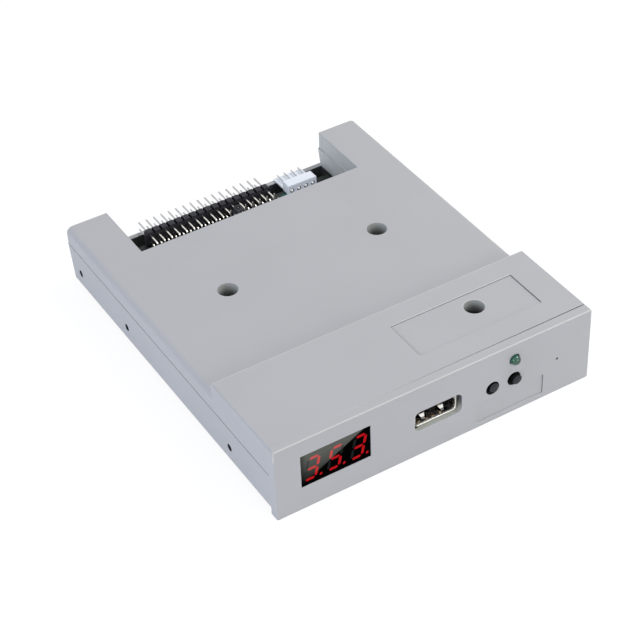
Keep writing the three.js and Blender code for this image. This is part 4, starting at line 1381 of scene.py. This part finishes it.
@once("node_groups")
def window_sheen(name):
    """Painted reflection: a grey sheen over the window's upper left half, nothing below a slanted
    line, and above it a tone that grows with height."""
    tree, given, out = group_of(name, {"Edge": 0.3 * MM}, ("Sheen",))
    axes = axes_of(tree)
    line = maths(tree, "MULTIPLY_ADD", axes[0], SHEEN_SLOPE,
                 SHEEN_START[1] - SHEEN_SLOPE * SHEEN_START[0])
    above = maths(tree, "DIVIDE", maths(tree, "SUBTRACT", axes[2], line), given["Edge"])
    low = ranged(tree, axes[2], 8.5 * MM, 14.0 * MM, 0, 0.5, smooth=True)
    high = ranged(tree, axes[2], 12.5 * MM, 18.5 * MM, 0, 0.62)
    left = ranged(tree, axes[0], -43.4 * MM, -40.5 * MM, 0.35, 1, smooth=True)
    tone = maths(tree, "MULTIPLY", left, maths(tree, "ADD", low, high))
    feed(tree, out,
         Sheen=maths(tree, "MULTIPLY", ranged(tree, above, -1, 1, smooth=True), tone))
    return tree


class DRIVE_OT_screen(bpy.types.Operator):
    """Dark glossy window with three slanted digits behind it"""

    bl_idname = "drive.screen"
    bl_label = "Screen"

    def execute(self, context):
        look = context.scene.drive_screen
        softened("window", "display_lens", 0.12 * MM,
                 [self.gloss("window_glass", look.glass, look.sheen, 1.0)])
        bars = Surface()
        depths = [LENS_FRONT + 0.05 * MM, LENS_FRONT - 0.015 * MM]
        for number, digit in enumerate(look.shown):
            shift = (number - (len(look.shown) - 1) / 2) * look.digit_pitch
            for letter, shape in self.shapes(look).items():
                flat = shape + [shift, 0]
                flat[:, 0] += flat[:, 1] * look.slant
                shown = letter in BAR_SETS[digit] or letter == "point"
                bars.solid(stacked([flat + DIGITS_MIDDLE] * 2, depths, axis=1), int(shown))
        unlit = self.gloss("bar_unlit", look.unlit, look.sheen, 0.5)
        lit = self.gloss("bar_lit", look.lit, look.sheen, 0.8, glows=True)
        piece_of("digit_bars", bars, [unlit, lit], smooth=30)
        paint_node("display_body", plastic("display_module", linear(60, 60, 62), 0.5, 0.2 * MM))
        paint_node("display_board", plastic("display_lacquer", linear(30, 84, 60), 0.35, 0.5 * MM))
        return {"FINISHED"}

    def shapes(self, look):
        """Seven bars and a point, about the digit's middle. A bar is a strip along the line
        between two corners, a little short of both, and its ends are blunt: over the last stretch
        it narrows at 45 degrees to a part of its thickness."""
        half = np.array([look.digit_width, look.digit_height]) / 2
        made = {letter: self.strip(*(np.array(ends) * half), look.bar / 2)
                for letter, ends in BAR_ENDS.items()}
        turn = np.linspace(0, 2 * math.pi, 20, endpoint=False)
        dot = 0.42 * MM * np.stack([np.cos(turn), np.sin(turn)], axis=-1)
        return {**made, "point": dot + POINT_PLACE}

    def strip(self, first, last, thick):
        run = (last - first) / np.linalg.norm(last - first)
        side = np.array([-run[1], run[0]])
        first, last = first + run * BAR_INSET, last - run * BAR_INSET
        tip = thick - BAR_INSET
        corners = ((0, tip), (BAR_INSET, thick), (BAR_INSET, -thick), (0, -tip))
        start = [first + run * along + side * off for along, off in corners]
        end = [last - run * along - side * off for along, off in corners]
        return np.array([start[3], start[0], start[1], end[2], end[3], end[0], end[1], start[2]])

    def gloss(self, name, base, sheen, sheen_share, glows=False):
        """Glossy dark surface: its own colour, plus the grey sheen, a painted reflection given as
        emission, where the window has it. A lit bar's colour is its light."""
        material, tree, shader = start_material(
            name, Specular_IOR_Level=0.008, IOR=1.2, Emission_Strength=1.0)
        dust = noise(tree, 700.0, 5.0)
        mask = maths(tree, "MULTIPLY", node(tree, "Group", node_tree=window_sheen()).outputs[0],
                     ranged(tree, dust, 0.2, 0.8, 0.96 * sheen_share, sheen_share))
        light = blended(tree, mask, [0, 0, 0], sheen)
        if glows:
            light = blended(tree, 1.0, base, light, "ADD")
            shader["Base Color"].default_value = (0.01, 0.002, 0.002, 1)
        else:
            feed(tree, shader, Base_Color=blended(tree, dust, base, [c * 0.8 for c in base]))
        # The emission carries the painted reflection, and a lit bar's own light.
        feed(tree, shader, Emission_Color=light,
             Roughness=ranged(tree, dust, 0.35, 0.7, 0.05, 0.14))
        return material


# Keys, lamp and inner parts


@once("materials")
def switch_black(name):
    return plastic(name, linear(44, 44, 46), 0.5, 0.15 * MM)


class DRIVE_OT_keys(bpy.types.Operator):
    """Two black keys with their switches, and the green lamp above the right one"""

    bl_idname = "drive.keys"
    bl_label = "Keys and lamp"

    face_radius = 1.34 * MM
    face_edge = 0.14 * MM
    face_shift = 0.44 * MM
    dark_rows = 3
    collar = FACE + 1.5 * MM
    lamp_centre = (24.95 * MM, 0, 19.1 * MM)
    lamp_radius = 1.5 * MM
    flange = (1.95 * MM, FACE + 2.9 * MM, FACE + 3.9 * MM)
    lean_share = -0.8

    def execute(self, context):
        look = context.scene.drive_key
        black = plastic("key_black", look.plastic, 0.5, 0.1 * MM, mottle=0.05,
                        Specular_IOR_Level=0.25)
        # The darker copy on the key's sides and chamfer is painted shade.
        shaded = plastic("key_side", look.side, 0.6, 0.1 * MM, Specular_IOR_Level=0.1)
        for side in ("left", "right"):
            face, rest = self.key(look, *node_box(f"button_{side}"))
            surface = Surface()
            turned_away = np.arange(len(face) + len(rest) - 1) >= len(face) - self.dark_rows
            surface.solid(np.concatenate([face, rest]), turned_away.astype(int)[:, None])
            piece_of(f"key_{side}", surface, [black, shaded],
                     (f"button_{side}",), smooth=35, body=f"button_{side}")
            paint_node(f"switch_body_{side}", switch_black())
        self.lamp(look)
        return {"FINISHED"}

    def key(self, look, low, high, middle):
        """A key is turned round its axis: a face that is a shallow dome, a rounded edge, the
        front part, a chamfer behind the bezel's face and the wider stem. The front part stands a
        little to the right of the stem's axis."""
        radius, wide = middle[0] - low[0], self.face_radius
        face = [(wide * s, low[1] + look.dome * s ** 2) for s in np.linspace(0.02, 1, 8)]
        face += [(wide + self.face_edge * math.sin(a),
                  low[1] + look.dome + self.face_edge * (1 - math.cos(a)))
                 for a in np.linspace(0.3, math.pi / 2, 4)]
        rest = [(radius - 0.08 * MM, self.collar + 0.05 * MM),
                (radius, self.collar + 0.15 * MM), (radius, high[1] - 0.1 * MM),
                (radius - 0.1 * MM, high[1])]
        centre = (middle[0], 0, middle[2])
        face = turned(face + [(1.5 * MM, self.collar)], centre)
        face[..., 0] += self.face_shift
        return face, turned(rest, centre)

    def lamp(self, look):
        """The lamp is turned round its axis: a half ball, a straight body and a flange. A leg
        bends down from its rear at either side."""
        low, high, _ = node_box("indicator_led")
        radius, (wide, front, rear) = self.lamp_radius, self.flange
        profile = [(radius * math.sin(a), low[1] + radius * (1 - math.cos(a)))
                   for a in np.linspace(0.03, math.pi / 2, 14)]
        surface = Surface()
        surface.solid(turned(profile + [(radius, front), (wide, front), (wide, rear)],
                             self.lamp_centre))
        half = 0.25 * MM
        x, _, z = self.lamp_centre
        y = high[1] - half
        for leg in (x - PITCH / 2, x + PITCH / 2):
            path = bend_points((leg, y, low[2]), (leg, y, z), (leg, rear - 0.2 * MM, z), 0.8 * MM)
            surface.solid(carried(path, square_of(half, 0.4)), 1)
        piece_of("lamp", surface, [self.resin(look), tinned_pin()],
                 ("indicator_led",))

    def resin(self, look):
        """Green resin with painted light and shade: lighter towards its upper left, with a faint
        cloud inside.
        """
        material, tree, shader = start_material(
            "lamp_resin", Transmission_Weight=0.15, IOR=1.5, Coat_Weight=0.6)
        cloud, axes = noise(tree, 500.0, 3.0), axes_of(tree)
        lean = maths(tree, "MULTIPLY_ADD", axes[0], self.lean_share, axes[2])
        start = self.lamp_centre[2] + self.lean_share * self.lamp_centre[0]
        side = ranged(tree, lean, start - 0.9 * MM, start + 1.5 * MM, smooth=True)
        lit = maths(tree, "MULTIPLY", side, ranged(tree, cloud, 0.3, 0.7, 0.85, 1))
        feed(tree, shader, Base_Color=blended(tree, lit, look.lamp_deep, look.lamp),
             Roughness=ranged(tree, cloud, 0.3, 0.7, 0.04, 0.1))
        return material


class DRIVE_OT_inner_parts(bpy.types.Operator):
    """Finishes of the hidden chips, and a dark strip that paints the shadow in the joint between
    the two shells
    """

    bl_idname = "drive.inner_parts"
    bl_label = "Inner parts"

    def execute(self, context):
        chip = plastic("chip_black", linear(34, 34, 36), 0.55, 0.08 * MM)
        paint_node("microcontroller", chip)
        paint_node("voltage_regulator", chip)
        # The dark strip in the groove between the shells is painted shadow.
        dark = plastic("case_joint", context.scene.drive_case.joint, 0.9, 0.1 * MM)
        surface = Surface()
        half, inset = 0.11 * MM, 0.125 * MM
        edge, rear = HALF_WIDTH - inset, CASE_REAR - inset
        inner = BAY_HALF + 0.13 * MM
        for side in (-1, 1):
            path = np.array([[side * edge, BEZEL_BACK, PARTING], [side * edge, rear, PARTING],
                             [side * inner, rear, PARTING]])
            surface.solid(self.mitred(path, rounded_outline(half, half, half * 0.3, 1)))
        piece_of("case_joint", surface, [dark])
        return {"FINISHED"}

    def mitred(self, path, outline):
        """An outline carried along a flat path with square corners: at a corner its width lies
        along the bisector, so that both runs keep their thickness."""
        run = np.diff(path, axis=0)
        run /= np.linalg.norm(run, axis=1, keepdims=True)
        before, after = np.concatenate([run[:1], run]), np.concatenate([run, run[-1:]])
        across = np.cross((0, 0, 1), before) + np.cross((0, 0, 1), after)
        across /= 1 + (before * after).sum(1, keepdims=True)
        flat = outline[None, :, :1] * across[:, None]
        return path[:, None] + flat + outline[None, :, 1:] * np.array([0, 0, 1])


# Stage

CAMERA_TURN = np.array([2.189, -0.641, 0.252])
CAMERA_PLACE = np.array([32.04, 34.21, 505.03]) * MM
SENSOR = 36
LENS = 1861.85 / 640 * SENSOR
LAMPS = (
    ("lamp_top", (0.45, -0.1, 0.7), (0, 0, 0), 0.4, 2.65, (255, 254, 252)),
    ("lamp_left", (-0.8, -0.1, 0.3), (0, 0, 0.01), 0.5, 2.5, (218, 232, 255)),
    ("lamp_front", (0.25, -0.9, 0.35), (0, 0, 0.01), 0.6, 2.05, (255, 254, 252)),
)


def shows_background(tree):
    """1 for a ray that shows the background: from the camera, or through gloss or glass."""
    rays = node(tree, "LightPath").outputs
    indirect = maths(tree, "MAXIMUM", rays["Is Glossy Ray"], rays["Is Transmission Ray"])
    return maths(tree, "MAXIMUM", rays["Is Camera Ray"], indirect)


def put(name, data, place, right, up, back):
    """An object for a lamp or camera, at a place and with its three axes."""
    thing = added(name, data)
    matrix = np.eye(4)
    matrix[:3] = np.stack([right, up, back, place], axis=1)
    thing.matrix_world = Matrix(matrix.tolist())
    return thing


class DRIVE_OT_stage(bpy.types.Operator):
    """Pale floor, soft lamps, an even sky and the camera"""

    bl_idname = "drive.stage"
    bl_label = "Stage"

    def execute(self, context):
        look = context.scene.drive_stage
        self.floor(look)
        self.sky(context, look)
        for name, place, target, size, watts, tone in LAMPS:
            self.lamp(name, np.array(place), np.array(target), size, watts, tone)
        context.scene.camera = self.camera()
        context.scene.view_settings.view_transform = "Standard"
        return {"FINISHED"}

    def floor(self, look):
        """A flat sheet, as a grid of points around the object."""
        x, y = np.meshgrid(*[np.linspace(-1.5, 1.5, 7)] * 2)
        surface = Surface()
        surface.grid(np.stack([x, y, np.zeros_like(x)], axis=-1), closed=False)
        mesh = surface.mesh("floor")
        floor = added("floor", mesh)
        material = bpy.data.materials.new("floor")
        material.use_nodes = True
        tree = material.node_tree
        tree.nodes.clear()
        tone = blended(tree, noise(tree, 3.0, 2.0), look.floor, [c * 0.99 for c in look.floor])
        paper = node(tree, "BsdfDiffuse", {"Color": tone}).outputs[0]
        white = node(tree, "Emission", {"Color": (1, 1, 1, 1), "Strength": 1.12}).outputs[0]
        share_white = maths(tree, "MULTIPLY", shows_background(tree), 1 - look.shadow)
        mixed = node(tree, "MixShader", {0: share_white, 1: paper, 2: white}).outputs[0]
        node(tree, "OutputMaterial", {"Surface": mixed})
        mesh.materials.append(material)

    def sky(self, context, look):
        world = context.scene.world = bpy.data.worlds.new("sky")
        world.use_nodes = True
        tree = world.node_tree
        tree.nodes.clear()
        strength = ranged(tree, shows_background(tree), 0, 1, look.sky, 1.0)
        back = node(tree, "Background", {"Color": (1, 1, 1, 1), "Strength": strength}).outputs[0]
        node(tree, "OutputWorld", {"Surface": back})

    def lamp(self, name, place, target, size, watts, tone):
        light = bpy.data.lights.new(name, "AREA")
        light.shape = "DISK"
        light.size, light.energy, light.color = size, watts, linear(*tone)
        away = (place - target) / np.linalg.norm(place - target)
        side = np.cross((0, 0, 1), away)
        side /= np.linalg.norm(side)
        put(name, light, place, side, np.cross(away, side), away)

    def camera(self):
        """The camera's turn is given as an axis times an angle. Its matrix is the cosine times
        the identity, plus the sine times the axis's cross product, plus the rest along the
        axis."""
        angle = np.linalg.norm(CAMERA_TURN)
        axis = CAMERA_TURN / angle
        cross = np.cross(np.eye(3), axis)
        turn = (math.cos(angle) * np.eye(3) + math.sin(angle) * cross
                + (1 - math.cos(angle)) * np.outer(axis, axis))
        data = bpy.data.cameras.new("camera")
        data.lens, data.sensor_width, data.clip_start, data.clip_end = LENS, SENSOR, 0.01, 10
        place = -turn.T @ CAMERA_PLACE + np.array([0, FACE, 0])
        return put("camera", data, place, turn[0], -turn[1], -turn[2])


class DRIVE_PT_panel(bpy.types.Panel):
    """Lists the pieces of the drive and their sizes and colours"""

    bl_idname = "DRIVE_PT_panel"
    bl_label = "Drive"
    bl_space_type = "VIEW_3D"
    bl_region_type = "UI"
    bl_category = "Drive"

    def draw(self, context):
        for operator in OPERATORS:
            self.layout.operator(operator.bl_idname)
        for name, kind in LOOKS.items():
            box = self.layout.box()
            box.label(text=kind.__name__)
            for key in kind.__annotations__:
                box.prop(getattr(context.scene, name), key)


OPERATORS = (DRIVE_OT_stage, DRIVE_OT_lower_shell, DRIVE_OT_upper_shell, DRIVE_OT_case_screws,
             DRIVE_OT_board, DRIVE_OT_ribbon_header, DRIVE_OT_jumper_header,
             DRIVE_OT_power_header, DRIVE_OT_socket, DRIVE_OT_screen, DRIVE_OT_keys,
             DRIVE_OT_inner_parts)
CLASSES = (*LOOKS.values(), *OPERATORS, DRIVE_PT_panel)


def register():
    for kind in CLASSES:
        bpy.utils.register_class(kind)
    for name, kind in LOOKS.items():
        setattr(bpy.types.Scene, name, bpy.props.PointerProperty(type=kind))


def unregister():
    for name in LOOKS:
        delattr(bpy.types.Scene, name)
    for kind in reversed(CLASSES):
        bpy.utils.unregister_class(kind)


def main():
    register()
    for operator in OPERATORS:
        group, name = operator.bl_idname.split(".")
        getattr(getattr(bpy.ops, group), name)()
    settle()


if __name__ == "__main__":
    main()
